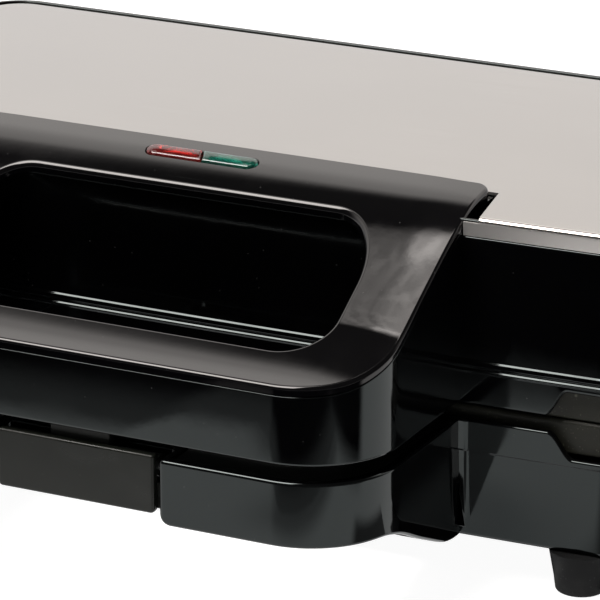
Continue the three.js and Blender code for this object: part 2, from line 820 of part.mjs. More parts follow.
// Lid housing: walls and deck under the steel cover, the tray of the handle, and the hinge ears
function lidHousing() {
  const lean = (rise) => (lidDraft * rise) / lidHeight;
  const beadLow = lean(beadRise);
  const beadHigh = lean(beadRise + beadHeight);
  const deckInset = lidDraft + sheet + seatGap;
  const outer = bodyLoft([
    [lidBottom, edgeRound],
    [lidBottom + edgeRound, 0],
    [lidBottom + beadRise, beadLow],
    [lidBottom + beadRise + beadProud, beadLow - beadProud],
    [lidBottom + beadRise + beadHeight - beadProud, beadHigh - beadProud],
    [lidBottom + beadRise + beadHeight, beadHigh],
    [lidRim - edgeRound, lidDraft],
    [lidRim, lidDraft + edgeRound],
    [lidRim, deckInset],
    [deckTop, deckInset],
  ]);
  const block = handleBlock([
    [lidBottom, edgeRound],
    [lidBottom + edgeRound, 0],
    [panelTop + overrun, 0],
  ]);
  const fingerHole = prismZ(fingerOutline(0), lidBottom - overrun, panelTop + 2 * overrun);
  const hollow = bodyLoft([
    [lidBottom - overrun, wall],
    [lidBottom, wall],
    [deckUnder, wall + lidDraft],
  ]);
  const tray = handleCavity(wall, lidBottom + wall, panelTop + overrun);
  const loop = cut(block, fingerHole, tray);
  const bodyCore = bodyLoft([[lidBottom - overrun, wall], [panelTop + 2 * overrun, wall]]);
  const bosses = bossesAt(
    screwPlaces, bossRadius, upperFace + flangeRise + sheet + seatGap, deckUnder + wall / 2,
  );
  const pilots = bossesAt(
    screwPlaces, screwRadius + seatGap, lidBottom, upperFace + flangeRise + screwLength,
  );
  const lampHole = lensPrism(-seatGap, deckUnder - overrun, panelTop + overrun);
  const noseSlotHalf = latchNoseWidth / 2 + runningGap;
  const noseSlot = box(
    latchOffset - noseSlotHalf, latchOffset + noseSlotHalf, handleFront + wall, fingerFront - wall,
    lidBottom - overrun, lidBottom + wall + overrun,
  );
  const fitted = join(
    cut(join(outer, cut(loop, bodyCore)), hollow),
    bosses,
    plateRibs(upperFace + upperRimDepth + seatGap, deckUnder + wall / 2),
    ...hingePlaces.map(hingeEar),
  );
  return cut(
    fitted, tray, panelRoom(), pilots, lampHole, noseSlot,
    slideSlots(upperTongue), notchCutter(lidBottom, lidNotchHeight, lidNotchStart, lidNotchRun),
  );
}

// Steel cover: a shallow pressed tray turned down round its edge, open where the panel laps it
// and cut back in a wedge on each side of the panel
function lidCover() {
  const bottom = lidRim + sheet;
  const bend = 2 * edgeRound;
  const outer = bodyLoft([
    [bottom, lidDraft],
    [coverTop - bend, lidDraft],
    [coverTop - bend / 3, lidDraft + bend / 3],
    [coverTop, lidDraft + bend],
  ]);
  const inner = bodyLoft([
    [bottom - overrun, lidDraft + sheet],
    [coverTop - sheet, lidDraft + sheet],
  ]);
  const lampHole = lensPrism(-seatGap, deckUnder - overrun, panelTop + overrun);
  const reliefs = [1, -1].map((side) => {
    const plan = [
      [handleHalf - overrun, 0], [handleHalf + reliefFrontWidth, 0],
      [handleHalf + reliefRearWidth, panelLap + reliefRear],
      [handleHalf - overrun, panelLap + reliefRear],
    ].map(([x, y]) => [side * x, y]);
    return prismZ(side > 0 ? plan : plan.reverse(), coverTop - bend, coverTop + overrun);
  });
  return cut(outer, inner, panelRoom(), lampHole, ...reliefs);
}

// Handle panel: a curved cover over the handle's tray, with the finger window and the lamp slot
function handlePanel() {
  const outline = roundedRectangle(
    -handleHalf, handleHalf, handleFront, panelLap, handleCorner, panelBackCorner, cornerSteps,
  );
  const low = lidBottom;
  const high = panelTop + overrun;
  return cut(
    panelBand(0, -panelThickness, handleHalf).intersect(prismZ(outline, low, high)),
    prismZ(windowOutline(), low - overrun, high + overrun),
    lensPrism(0, low - overrun, high + overrun),
  );
}

function lens(side) {
  const middle = lensOffset + (side * seatGap) / 2;
  const [left, right] = side > 0 ? [middle, lensLength] : [-lensLength, middle];
  return panelBand(lensProud, -lensDepth, handleHalf)
    .intersect(lensPrism(seatGap, lidBottom, panelTop + overrun))
    .intersect(box(left, right, -bodyDepth, bodyDepth, lidBottom, panelTop + overrun));
}

const redLampX = lensOffset - lensLength / 4;
const greenLampX = lensOffset + lensLength / 4;

function lampHolder() {
  const bottom = deckUnder - holderDepth;
  const inset = 2 * seatGap;
  const body = cut(
    lensPrism(inset, bottom, panelTop + overrun),
    prismX(
      [
        ...panelCurve(-lensDepth - seatGap),
        [panelLap + overrun, panelTop],
        [panelLap + overrun, panelTop + 2 * overrun],
        [handleFront, panelTop + 2 * overrun],
      ],
      -handleHalf, handleHalf,
    ),
  );
  const flange = prismZ(
    roundedRectangle(
      lensOffset - lensLength / 2 - holderFlange, lensOffset + lensLength / 2 + holderFlange,
      lensSetback - lensWidth / 2 - holderFlange, lensSetback + lensWidth / 2 + holderFlange,
      lensWidth / 2 + holderFlange,
    ),
    deckUnder - seatGap - holderFlange, deckUnder - seatGap,
  );
  const bores = [redLampX, greenLampX].map((x) => (
    rodZ(x, lensSetback, lampRadius + seatGap, bottom + holderFlange, panelTop + overrun)
  ));
  return cut(join(body, flange), ...bores);
}

function neonLamp() {
  const tip = lampRadius / 2;
  const profile = [
    [0, 0], [lampRadius, 0], [lampRadius, lampLength - tip],
    [tip, lampLength], [0, lampLength],
  ];
  return turned(profile);
}

// Latch: a flush lever in the base's recess, with a nose that stands up into the lid's handle
function latch() {
  const front = handleFront - latchPivotY;
  const back = front + latchThickness;
  const top = lidBottom - latchTopDrop - latchPivotZ;
  const bottom = baseHandleBottom + latchLift - latchPivotZ;
  const round = 2 * edgeRound;
  const plate = prismX(
    [
      [front + edgeRound, bottom], [back, bottom], [back, top], [front + round, top],
      [front + round / 3, top - round / 3], [front, top - round], [front, bottom + edgeRound],
    ],
    -latchWidth / 2, latchWidth / 2,
  );
  const boss = rodX(0, 0, latchBoss, -latchWidth / 2, latchWidth / 2);
  const noseFront = front + latchThickness + runningGap;
  const noseBack = noseFront + latchNoseThickness;
  const noseTop = lidBottom + latchNoseRise - latchPivotZ;
  const half = latchNoseWidth / 2;
  const nose = prismX(
    [
      [noseFront, top - latchThickness], [noseFront, noseTop - edgeRound],
      [noseFront + edgeRound, noseTop], [noseBack - edgeRound, noseTop],
      [noseBack, top - latchThickness], [noseBack, 0], [noseFront, 0],
    ].reverse(),
    -half, half,
  );
  const bridge = box(
    -half, half, front + edgeRound, noseBack, top - 2 * latchThickness, top - latchThickness / 2,
  );
  const ribs = [-1, 0, 1].map((place) => {
    const x = (place * latchWidth) / 3;
    const foot = back - edgeRound;
    return prismX(
      [[foot, bottom + latchThickness], [latchBoss / 2, -latchBoss / 2], [foot, 0]],
      x - ribThickness / 2, x + ribThickness / 2,
    );
  });
  const bore = rodX(0, 0, latchPinRadius + seatGap, -latchWidth, latchWidth);
  return cut(join(plate, boss, nose, bridge, ...ribs), bore);
}

// Cast plate, modelled on its mating face with its back towards +Z: a face with four
// triangular pockets, a rim skirt, and a slotted lug on each side for the release slides
function castPlate(rimDepth) {
  const cellLeft = pocketRidge / 2;
  const cellRight = halfWidth - pocketSideMargin;
  const cellFront = pocketEndMargin;
  const cellBack = bodyDepth - pocketEndMargin;
  const gap = pocketRidge / 2;
  const slope = Math.hypot(cellRight - cellLeft, cellBack - cellFront);
  const shiftX = (gap * slope) / (cellBack - cellFront);
  const shiftY = (gap * slope) / (cellRight - cellLeft);
  const outerTriangle = [
    [cellLeft + shiftX, cellFront], [cellRight, cellFront], [cellRight, cellBack - shiftY],
  ];
  const innerTriangle = [
    [cellRight - shiftX, cellBack], [cellLeft, cellBack], [cellLeft, cellFront + shiftY],
  ];
  const pockets = [];
  const bowls = [];
  [outerTriangle, innerTriangle].forEach((triangle) => {
    [1, -1].forEach((side) => {
      let corners = triangle.map(([x, y]) => new THREE.Vector2(side * x, y));
      if (side < 0) {
        corners = corners.reverse();
      }
      pockets.push(loft([
        [-overrun, roundedTriangle(corners, 0, pocketCorner)],
        [0, roundedTriangle(corners, 0, pocketCorner)],
        [pocketDepth, roundedTriangle(corners, pocketDraft, pocketCorner - pocketDraft)],
      ]));
      const bowlDraft = pocketDraft - castWall;
      bowls.push(loft([
        [plateFace / 2, roundedTriangle(corners, -castWall, pocketCorner + castWall)],
        [bowlDepth, roundedTriangle(corners, bowlDraft, pocketCorner - bowlDraft)],
      ]));
    });
  });
  const block = bodyLoft([[0, plateInset + edgeRound], [edgeRound, plateInset], [rimDepth, plateInset]]);
  const back = bodyLoft([[plateFace, plateInset + castWall], [rimDepth + overrun, plateInset + castWall]]);
  const rimOuter = halfWidth - plateInset;
  const rimInner = rimOuter - castWall;
  const lug = (left, right) => (
    box(left, right, releaseY - lugWidth / 2, releaseY + lugWidth / 2, plateFace, lugDepth)
  );
  const tongueSlot = (left, right) => box(
    left, right, releaseY - tongueWidth / 2 - seatGap, releaseY + tongueWidth / 2 + seatGap,
    tongueRise - seatGap, tongueRise + tongueThickness + seatGap,
  );
  const shell = join(cut(block, back), ...bowls, lug(rimInner, rimOuter), lug(-rimOuter, -rimInner));
  const slots = [
    tongueSlot(rimInner - seatGap, rimOuter + seatGap),
    tongueSlot(-rimOuter - seatGap, -rimInner + seatGap),
  ];
  return cut(shell, ...pockets, ...slots);
}

// Reflector pan, modelled from the plate's face like the plate: a flange and a pan for the heater
function panOutline(inset) {
  const side = halfWidth - panInset - inset;
  const radius = panCorner - inset;
  return roundedRectangle(
    -side, side, panEndInset + inset, bodyDepth - panEndInset - inset, radius,
  );
}

function reflectorPan() {
  const top = panRise + sheet;
  const flange = bodyLoft([[flangeRise, flangeInset], [flangeRise + sheet, flangeInset]]);
  const outer = loft([
    [flangeRise, panOutline(-sheet)],
    [top, panOutline(panDraft - sheet)],
  ]);
  const inner = loft([
    [flangeRise - overrun, panOutline(0)],
    [flangeRise, panOutline(0)],
    [panRise, panOutline(panDraft)],
  ]);
  const holes = bossesAt(screwPlaces, screwRadius + seatGap, 0, top);
  const leadHoles = [-1, 1].map((side) => (
    rodZ(
      (side * terminalSpacing) / 2, bodyDepth - elementEndInset + terminalReach / 2,
      elementRadius, panRise - overrun, top + overrun,
    )
  ));
  return cut(join(flange, outer), inner, holes, ...leadHoles);
}

// Tubular heating element, bent into an open loop that lies against the bowls
function heatingElement() {
  const side = halfWidth - elementInset;
  const front = elementEndInset;
  const back = bodyDepth - elementEndInset;
  const terminal = terminalSpacing / 2;
  const end = back + terminalReach;
  const corners = [
    [-terminal, end], [-terminal, back], [-side, back], [-side, front],
    [side, front], [side, back], [terminal, back], [terminal, end],
  ].map(([x, y]) => new THREE.Vector3(x, y, elementRise));
  const path = new THREE.CurvePath();
  let from = corners[0];
  for (let i = 1; i + 1 < corners.length; i += 1) {
    const before = corners[i - 1].clone().sub(corners[i]).setLength(elementBend).add(corners[i]);
    const after = corners[i + 1].clone().sub(corners[i]).setLength(elementBend).add(corners[i]);
    path.add(new THREE.LineCurve3(from, before));
    path.add(new THREE.QuadraticBezierCurve3(before, corners[i], after));
    from = after;
  }
  path.add(new THREE.LineCurve3(from, corners.at(-1)));
  const section = [];
  for (let i = 0; i < elementSides; i += 1) {
    const angle = ((i + 1 / 2) * 4 * quarterTurn) / elementSides;
    section.push(new THREE.Vector2(elementRadius * Math.cos(angle), elementRadius * Math.sin(angle)));
  }
  const sweep = { steps: elementSteps, extrudePath: path, bevelEnabled: false };
  return solidOf(new THREE.ExtrudeGeometry(new THREE.Shape(section), sweep));
}

// Release slide, modelled at the middle of its tongue's wall slot, its pad towards +X
function releaseSlide() {
  const noseX = -(plateInset + castWall + tongueNose);
  const padFoot = beadProud + seatGap;
  const tongue = box(
    noseX, padFoot + padThickness / 2, -tongueWidth / 2, tongueWidth / 2,
    -tongueThickness / 2, tongueThickness / 2,
  );
  const section = (thickness) => (
    roundedRectangle(padFoot, padFoot + thickness, -padWidth / 2, padWidth / 2, edgeRound)
  );
  const pad = loft([
    [-padHeight / 2, section(padThickness / 2)],
    [-padHeight / 4, section(padThickness)],
    [padHeight / 4, section(padThickness)],
    [padHeight / 2, section(padThickness / 2)],
  ]);
  return join(tongue, pad);
}

// Screw, modelled with the underside of its head at zero and its shank towards -Z
function screw() {
  return turned([
    [0, -screwLength + screwRadius], [screwRadius, -screwLength + 2 * screwRadius],
    [screwRadius, 0], [screwHeadRadius, 0], [screwHeadRadius, screwHeadHeight / 2],
    [screwHeadRadius / 2, screwHeadHeight], [0, screwHeadHeight],
  ]);
}

function foot() {
  const seat = footHeight - seatGap;
  const neck = footHeight + wall + seatGap;
  return turned([
    [0, 0], [footRadius - edgeRound, 0], [footRadius, edgeRound], [footTopRadius, seat],
    [footPegRadius, seat], [footPegRadius, neck], [footPegRadius + footPegBulb, neck + footPegBulb],
    [footPegRadius - footPegBulb, neck + footPegLength], [0, neck + footPegLength],
  ], roundSides);
}

function bottomCover() {
  const plate = prismZ(coverOutline(seatGap, frontCorner - seatGap), baseBottom, floorTop - seatGap);
  const holes = bossesAt(coverScrews, screwRadius + seatGap, 0, baseTop);
  const slots = [];
  const pitch = (bottomCoverWidth - 4 * coverScrewInset) / ventCount;
  for (let i = 0; i < ventCount; i += 1) {
    const x = (i - (ventCount - 1) / 2) * pitch;
    [-1, 1].forEach((side) => {
      const y = (bottomCoverSetback + coverBack + side * (ventLength + bottomCoverLedge)) / 2;
      const [front, back] = [y - ventLength / 2, y + ventLength / 2];
      slots.push(box(x - ventWidth / 2, x + ventWidth / 2, front, back, 0, baseTop));
    });
  }
  return cut(plate, holes, ...slots);
}

// Gland, modelled with its flange's inner face at zero and its tail towards +Z
function cordGland() {
  return turned([
    [glandBore, -wall - baseDraft - seatGap], [glandRadius, -wall - baseDraft - seatGap],
    [glandRadius, seatGap], [glandFlangeRadius, seatGap], [glandFlangeRadius, seatGap + glandFlange],
    [glandTailRadius + edgeRound, seatGap + glandFlange], [glandTailRadius, glandTail],
    [glandBore, glandTail], [glandBore, -wall - baseDraft - seatGap],
  ], roundSides);
}

function hingePin() {
  const half = earWidth / 2 + runningGap + cheekWidth;
  return turned([
    [0, -half], [hingePinRadius, -half], [hingePinRadius, half + seatGap],
    [hingePinRadius + sheet, half + seatGap], [hingePinRadius + sheet, half + seatGap + sheet],
    [0, half + seatGap + sheet],
  ]);
}

function latchPin() {
  const half = latchBlockHalf;
  return turned([[0, -half], [latchPinRadius, -half], [latchPinRadius, half], [0, half]]);
}

function thermostat() {
  return turned([
    [0, 0], [thermostatRadius, 0], [thermostatRadius, thermostatHeight / 2],
    [thermostatRadius / 2, thermostatHeight / 2], [thermostatRadius / 2, thermostatHeight],
    [0, thermostatHeight],
  ]);
}

function terminalBlock() {
  const half = terminalBlockWidth / 2;
  const bottom = floorTop + seatGap;
  const back = bodyDepth - terminalBlockSetback;
  const block = box(-half, half, back - terminalBlockDepth, back, bottom, bottom + terminalBlockHeight);
  const ways = [-1, 0, 1].map((place) => {
    const x = (place * terminalBlockWidth) / 3;
    return rodZ(x, back - terminalBlockDepth / 2, screwRadius, bottom + wall, baseTop);
  });
  return cut(block, ...ways);
}

// The machine: the base stays put, and the lid, the latch and the slides are groups of their own
const machine = new THREE.Group();
const base = new THREE.Group();
const lid = new THREE.Group();
const lidPieces = new THREE.Group();
lid.position.set(0, hingeY, hingeZ);
lidPieces.position.set(0, -hingeY, -hingeZ);
lid.add(lidPieces);
machine.add(base, lid);

addPiece(base, 'base_housing', baseHousing(), glossBlack());
addPiece(base, 'base_handle_cap_left', handleCap(-1), glossBlack());
addPiece(base, 'base_handle_cap_right', handleCap(1), glossBlack());
addPiece(base, 'base_bottom_cover', bottomCover(), satinBlack());
const screwShape = geometryOf(screw());
coverScrews.forEach(([x, y], i) => {
  const place = { x, y, z: baseBottom - seatGap, turnX: halfTurn };
  addPiece(base, `bottom_cover_screw_${i + 1}`, screwShape, brightSteel(), place);
});
const footShape = geometryOf(foot());
footPlaces.forEach(([corner, x, y]) => {
  addPiece(base, `foot_${corner}`, footShape, rubberBlack(), { x, y });
});

const panShape = geometryOf(reflectorPan());
const elementShape = geometryOf(heatingElement());
const thermostatShape = geometryOf(thermostat());
const lowerPlace = { z: lowerFace, turnY: halfTurn };
const upperPlace = { z: upperFace };
const thermostatY = bodyDepth / 2;
addPiece(base, 'lower_plate', castPlate(lowerRimDepth), castCoating(), lowerPlace);
addPiece(base, 'lower_element', elementShape, brightSteel(), lowerPlace);
addPiece(base, 'lower_reflector', panShape, aluminisedSheet(), lowerPlace);
addPiece(base, 'lower_thermostat', thermostatShape, nylonWhite(), {
  y: thermostatY, z: lowerFace - panRise - sheet - seatGap, turnX: halfTurn,
});
addPiece(lidPieces, 'upper_plate', castPlate(upperRimDepth), castCoating(), upperPlace);
addPiece(lidPieces, 'upper_element', elementShape, brightSteel(), upperPlace);
addPiece(lidPieces, 'upper_reflector', panShape, aluminisedSheet(), upperPlace);
addPiece(lidPieces, 'upper_thermostat', thermostatShape, nylonWhite(), {
  y: thermostatY, z: upperFace + panRise + sheet + seatGap,
});
screwPlaces.forEach(([x, y], i) => {
  const lowerHead = { x, y, z: lowerFace - flangeRise + seatGap };
  const upperHead = { x, y, z: upperFace + flangeRise - seatGap, turnX: halfTurn };
  addPiece(base, `lower_reflector_screw_${i + 1}`, screwShape, brightSteel(), lowerHead);
  addPiece(lidPieces, `upper_reflector_screw_${i + 1}`, screwShape, brightSteel(), upperHead);
});

addPiece(base, 'terminal_block', terminalBlock(), nylonWhite());
addPiece(base, 'cord_gland', cordGland(), rubberBlack(), {
  y: bodyDepth, z: glandZ, turnX: -quarterTurn,
});
const hingePinShape = geometryOf(hingePin());
const sides = [['left', -1], ['right', 1]];
sides.forEach(([name, side]) => {
  const place = { x: (side * hingeSpacing) / 2, y: hingeY, z: hingeZ, turnY: side * quarterTurn };
  addPiece(base, `hinge_pin_${name}`, hingePinShape, brightSteel(), place);
});
addPiece(base, 'latch_pin', latchPin(), brightSteel(), {
  x: latchOffset, y: latchPivotY, z: latchPivotZ, turnY: quarterTurn,
});

addPiece(lidPieces, 'lid_housing', lidHousing(), glossBlack());
addPiece(lidPieces, 'lid_cover', lidCover(), brushedSteel());
addPiece(lidPieces, 'handle_panel', handlePanel(), glossBlack());
addPiece(lidPieces, 'lens_red', lens(-1), finish(0xb01812, 0.15));
addPiece(lidPieces, 'lens_green', lens(1), finish(0x16806a, 0.15));
addPiece(lidPieces, 'lamp_holder', lampHolder(), nylonWhite());
const lampShape = geometryOf(neonLamp());
const lampZ = deckUnder - holderDepth + holderFlange + seatGap;
[['red', redLampX], ['green', greenLampX]].forEach(([name, x]) => {
  addPiece(lidPieces, `neon_lamp_${name}`, lampShape, clearGlass(), { x, y: lensSetback, z: lampZ });
});

addPiece(machine, 'latch', latch(), satinBlack(), {
  x: latchOffset, y: latchPivotY, z: latchPivotZ,
});
const slideShape = geometryOf(releaseSlide());
sides.forEach(([name, side]) => {
  const place = { x: side * halfWidth, y: releaseY, turnZ: side > 0 ? 0 : halfTurn };
  const lowerSlide = { ...place, z: lowerTongue };
  const upperSlide = { ...place, z: upperTongue };
  addPiece(base, `release_lower_${name}`, slideShape, satinBlack(), lowerSlide);
  addPiece(lidPieces, `release_upper_${name}`, slideShape, satinBlack(), upperSlide);
});

// The origin is the middle of the machine's footprint, on the worktop
const rearmost = hingeY + hingeRadius;
machine.position.y = -(rearmost + handleFront) / 2;

export default machine;
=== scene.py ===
# The looks of a countertop sandwich maker with a looped handle, a steel lid cover and
# cast plates. Shapes are drawn in millimetres, with depths counted from the body's front wall,
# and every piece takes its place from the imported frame.
import functools
import json
import math

import bmesh
import bpy
import numpy as np
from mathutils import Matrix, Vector
from mathutils.geometry import delaunay_2d_cdt

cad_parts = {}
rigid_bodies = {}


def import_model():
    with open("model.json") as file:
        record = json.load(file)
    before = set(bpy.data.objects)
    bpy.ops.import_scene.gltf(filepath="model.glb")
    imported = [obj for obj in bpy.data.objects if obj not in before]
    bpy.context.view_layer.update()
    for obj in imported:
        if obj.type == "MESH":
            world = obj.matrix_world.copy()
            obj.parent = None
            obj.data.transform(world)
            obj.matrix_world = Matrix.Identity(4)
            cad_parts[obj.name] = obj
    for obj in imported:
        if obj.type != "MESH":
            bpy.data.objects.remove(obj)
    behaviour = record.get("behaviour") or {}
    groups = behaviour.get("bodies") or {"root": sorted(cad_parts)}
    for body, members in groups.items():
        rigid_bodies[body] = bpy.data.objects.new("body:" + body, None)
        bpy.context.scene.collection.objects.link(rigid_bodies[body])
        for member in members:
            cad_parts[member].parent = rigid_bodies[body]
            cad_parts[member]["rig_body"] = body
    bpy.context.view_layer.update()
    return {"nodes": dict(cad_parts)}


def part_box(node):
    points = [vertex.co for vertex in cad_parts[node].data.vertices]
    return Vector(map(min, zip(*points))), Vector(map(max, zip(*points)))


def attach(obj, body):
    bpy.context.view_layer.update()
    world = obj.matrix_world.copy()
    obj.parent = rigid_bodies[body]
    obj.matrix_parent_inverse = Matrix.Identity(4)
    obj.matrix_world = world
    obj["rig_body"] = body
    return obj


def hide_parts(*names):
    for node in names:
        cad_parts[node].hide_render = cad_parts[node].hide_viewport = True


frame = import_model()

MM = 0.001
QUARTER = math.pi / 2
HALF_TURN = math.pi


def box_of(name):
    """A CAD node's lowest and highest corner, in millimetres."""
    low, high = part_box(name)
    return np.array(low) / MM, np.array(high) / MM


def middle_of(name):
    """A CAD node's middle, in millimetres, with its depth counted from the front wall."""
    low, high = box_of(name)
    return (low + high) / 2 - (0.0, FRONT_SHIFT, 0.0)


# Clearances and thicknesses
GAP = 0.3
RUNNING_GAP = 0.5
WALL = 2.5
SHEET = 0.8
OVERRUN = 6.0
LAP = 0.35
LAP_SLOPE = 0.1
TOL = 1e-4
SHARP_TURN = 40.0

# The least square of a grid point's distance from an outline, and the names of the two sides
NEAR_RIM = 0.6
SIDES = (("left", -1), ("right", 1))

# Radii of rounded edges, from the keenest
TIGHT = 0.2
KEEN = 0.25
CRISP = 0.3
FINE_EDGE = 0.35
MILD = 0.4
SOFT = 0.5
ROUND = 0.9
EDGE = 1.0
LIP_EDGE = 1.1

# The body in plan
BODY_WIDTH = 275.0
BODY_DEPTH = 137.0
FRONT_BOW = 2.6
FRONT_CORNER = 17.0
REAR_CORNER = 13.5
LID_DRAFT = 0.8
BASE_DRAFT = 1.8

# The looped handle and the panel over it
HANDLE_WIDTH = 163.6
HANDLE_REACH = 63.1
HANDLE_CORNER = 25.4
ARM_WIDTH = 19.8
RAIL_DEPTH = 15.3
FINGER_CORNER = 13.4
PANEL_THICKNESS = 2.5
PANEL_LAP = 20.6
PANEL_BACK_CORNER = 4.0
PANEL_EDGE = 1.1
CROWN_START = 64.0
CROWN_RUN = 17.0
CROWN_DROP = 0.55
WINDOW_LIP = 1.3
WINDOW_BACK_WIDTH = 16.1
WINDOW_BACK_LENGTH = 22.1
WINDOW_SETBACK = 0.6
RELIEF_REAR = 2.5
RELIEF_REAR_WIDTH = 0.7
RELIEF_FRONT_WIDTH = 4.9
LENS_LENGTH = 34.6
LENS_WIDTH = 5.9
LENS_SETBACK = 10.8
LENS_MIDDLE = -1.3
LENS_DEPTH = 3.4
FLANGE_DROP = 1.2
LENS_PROUD = 0.3
LENS_CROWN = 0.6
LENS_SLANT = 1.0
GROOVE_DEPTH = 4.0
CAP_SEAT = 3.0
CAP_FOOT = 2.6
CAP_SUNK = 0.6
PANEL_RISE = 22.0
HANDLE_DEPTH = 18.5

# Bead, crease and steam notches
CREASE_RISE = 25.4
CREASE_STEP = 0.6
BEAD_RISE = 9.5
BEAD_HEIGHT = 3.4
BEAD_PROUD = 0.5
BEAD_FADE_START = -20.0
BEAD_FADE_RUN = 12.0
RIDGE_PROUD = 0.4
NOTCH_SIDE = 42.0
LID_NOTCH_START = 31.3
LID_NOTCH_RUN = 6.6
LID_NOTCH_RISE = 7.4
BASE_NOTCH_START = 30.4
BASE_NOTCH_RUN = 7.6
BASE_NOTCH_DROP = 7.1
LIP_REACH = 2.0

# Latch and its recess, and the release slides
LATCH_WIDTH = 47.4
LATCH_THICKNESS = 2.6
LATCH_MIDDLE = -1.5
LATCH_TOP_DROP = 3.6
LATCH_GAP = 1.3
NOSE_WIDTH = 18.0
NOSE_THICKNESS = 2.8
RECESS_DEPTH = 9.5
RECESS_CORNER = 3.4
TONGUE_WIDTH = 16.0
TONGUE_THICKNESS = 2.0

# Hinge
HINGE_RADIUS = 7.0
HINGE_SPACING = 144.0
HINGE_SETBACK = 9.5
EAR_WIDTH = 13.0
EAR_RISE = 27.0
EAR_HEEL = 0.9
CHEEK_WIDTH = 5.0
PIN_RADIUS = 2.5
TOWER_DROP = 31.0
TOWER_KNEE = 14.0
LID_SWING = math.radians(100.0)

# Underside and plates, whose pockets are given as (inset, depth, radius) corners
COVER_HALF = 95.0
COVER_FRONT = 24.0
COVER_BACK = 112.0
SCREW_HEAD = 2.6
SPLIT = 4.4
UPPER_PROUD = 1.25
PLATE_GAP = 0.9
PLATE_THICKNESS = 5.0
LOWER_RIM = 9.4
UPPER_RIM = 10.4
POCKET_RIDGE = 2.5
POCKET_SIDE = 16.0
POCKET_END = 14.0
POCKET_TAPER = 0.75
POCKET_CORNER = 1.2
FACE_CORNER = 9.0
BACK_CORNER = 10.0
POCKET_FACE = (
    (-1.6, 0.0, 0), (0.0, 0.0, 1.6), (4.0, 10.2, 3.0), (9.0, 12.0, 6.0), (12.0, 12.0, 0),
)
POCKET_BACK = (
    (-2.2, 5.0, 0), (-1.7, 5.0, SOFT), (1.4, 13.2, 3.0), (6.5, 15.0, 5.0), (9.0, 15.0, 0),
)

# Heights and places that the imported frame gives
FRONT_SHIFT = box_of("base_housing")[0][1] + HANDLE_REACH
BASE_BOTTOM = box_of("base_housing")[0][2]
LOWER_FACE = box_of("lower_plate")[1][2]
UPPER_FACE = box_of("upper_plate")[0][2]
LID_BOTTOM = UPPER_FACE + UPPER_PROUD
BASE_TOP = LID_BOTTOM - SPLIT
COVER_TOP = box_of("lid_cover")[1][2]
LID_RIM = box_of("lid_cover")[0][2] - SHEET
FLANGE_FOOT = LID_RIM - FLANGE_DROP
DECK_TOP = COVER_TOP - SHEET - GAP
DECK_UNDER = LID_RIM - WALL
PANEL_TOP = box_of("handle_panel")[1][2]
HALF_WIDTH = BODY_WIDTH / 2
HANDLE_HALF = HANDLE_WIDTH / 2
HANDLE_FRONT = -HANDLE_REACH
FINGER_HALF = HANDLE_HALF - ARM_WIDTH
FINGER_FRONT = HANDLE_FRONT + RAIL_DEPTH
SPAN = HALF_WIDTH - FRONT_CORNER
PANEL_FRONT = LID_BOTTOM + PANEL_RISE
HANDLE_FOOT = BASE_TOP - HANDLE_DEPTH
RECESS_HALF = LATCH_WIDTH / 2 + LATCH_GAP
BLOCK_HALF = RECESS_HALF + WALL
CREASE = BASE_BOTTOM + CREASE_RISE
HINGE_Y = BODY_DEPTH + HINGE_SETBACK
HINGE_Z = (BASE_TOP + LID_BOTTOM) / 2


# Outlines: arrays of x, y points that run anticlockwise seen from above
def points(xs, ys):
    """Points from places across and depths, either of which may be one value."""
    return np.column_stack(np.broadcast_arrays(xs, ys))


def circle(sides):
    angles = 2 * math.pi * np.arange(sides) / sides
    return np.column_stack((np.cos(angles), np.sin(angles)))


def rectangle(left, right, front, back):
    return np.array(((left, front), (right, front), (right, back), (left, back)), float)


def mirrored(outline):
    return (outline * (-1, 1))[::-1]


def arc(x, y, radius_x, radius_y, start, steps=14):
    angles = start + QUARTER * np.arange(steps + 1) / steps
    return np.column_stack((x + radius_x * np.cos(angles), y + radius_y * np.sin(angles)))


def between(first, last, count):
    """Evenly spaced values strictly between two ends."""
    return np.linspace(first, last, count + 2)[1:-1]


def rounded_rectangle(left, right, front, back, radius, back_radius=None, steps=14, side_count=0):
    """A rectangle with rounded corners, and extra points along its two sides."""
    far = radius if back_radius is None else back_radius
    rise = between(front + radius, back - far, side_count)
    return np.vstack((
        arc(right - radius, front + radius, radius, radius, -QUARTER, steps),
        points(right, rise),
        arc(right - far, back - far, far, far, 0.0, steps),
        arc(left + far, back - far, far, far, QUARTER, steps),
        points(left, rise[::-1]),
        arc(left + radius, front + radius, radius, radius, HALF_TURN, steps),
    ))


def front_line(x):
    """Depth of the bowed front wall at a distance from the middle."""
    share = np.clip(np.abs(x) / SPAN, 0.0, 1.0)
    return FRONT_BOW / 2 - FRONT_BOW * (1.0 - share**2)


def notch_stations(first, last, count, starts):
    """Evenly spaced places with a finer spacing where the steam notches step."""
    fine = [np.linspace(start, start + NOTCH_SPAN, 20) for start in starts]
    return np.unique(np.round(np.concatenate((between(first, last, count), *fine)), 3))


NOTCH_SPAN = LID_NOTCH_START - BASE_NOTCH_START + BASE_NOTCH_RUN
NOTCH_X = HALF_WIDTH - LID_NOTCH_START
FRONT_X = notch_stations(-SPAN, SPAN, 60, (-NOTCH_X - NOTCH_SPAN, NOTCH_X))
SIDE_Y = notch_stations(
    FRONT_BOW / 2 + FRONT_CORNER, BODY_DEPTH - REAR_CORNER, 24, (NOTCH_SIDE - NOTCH_SPAN,),
)


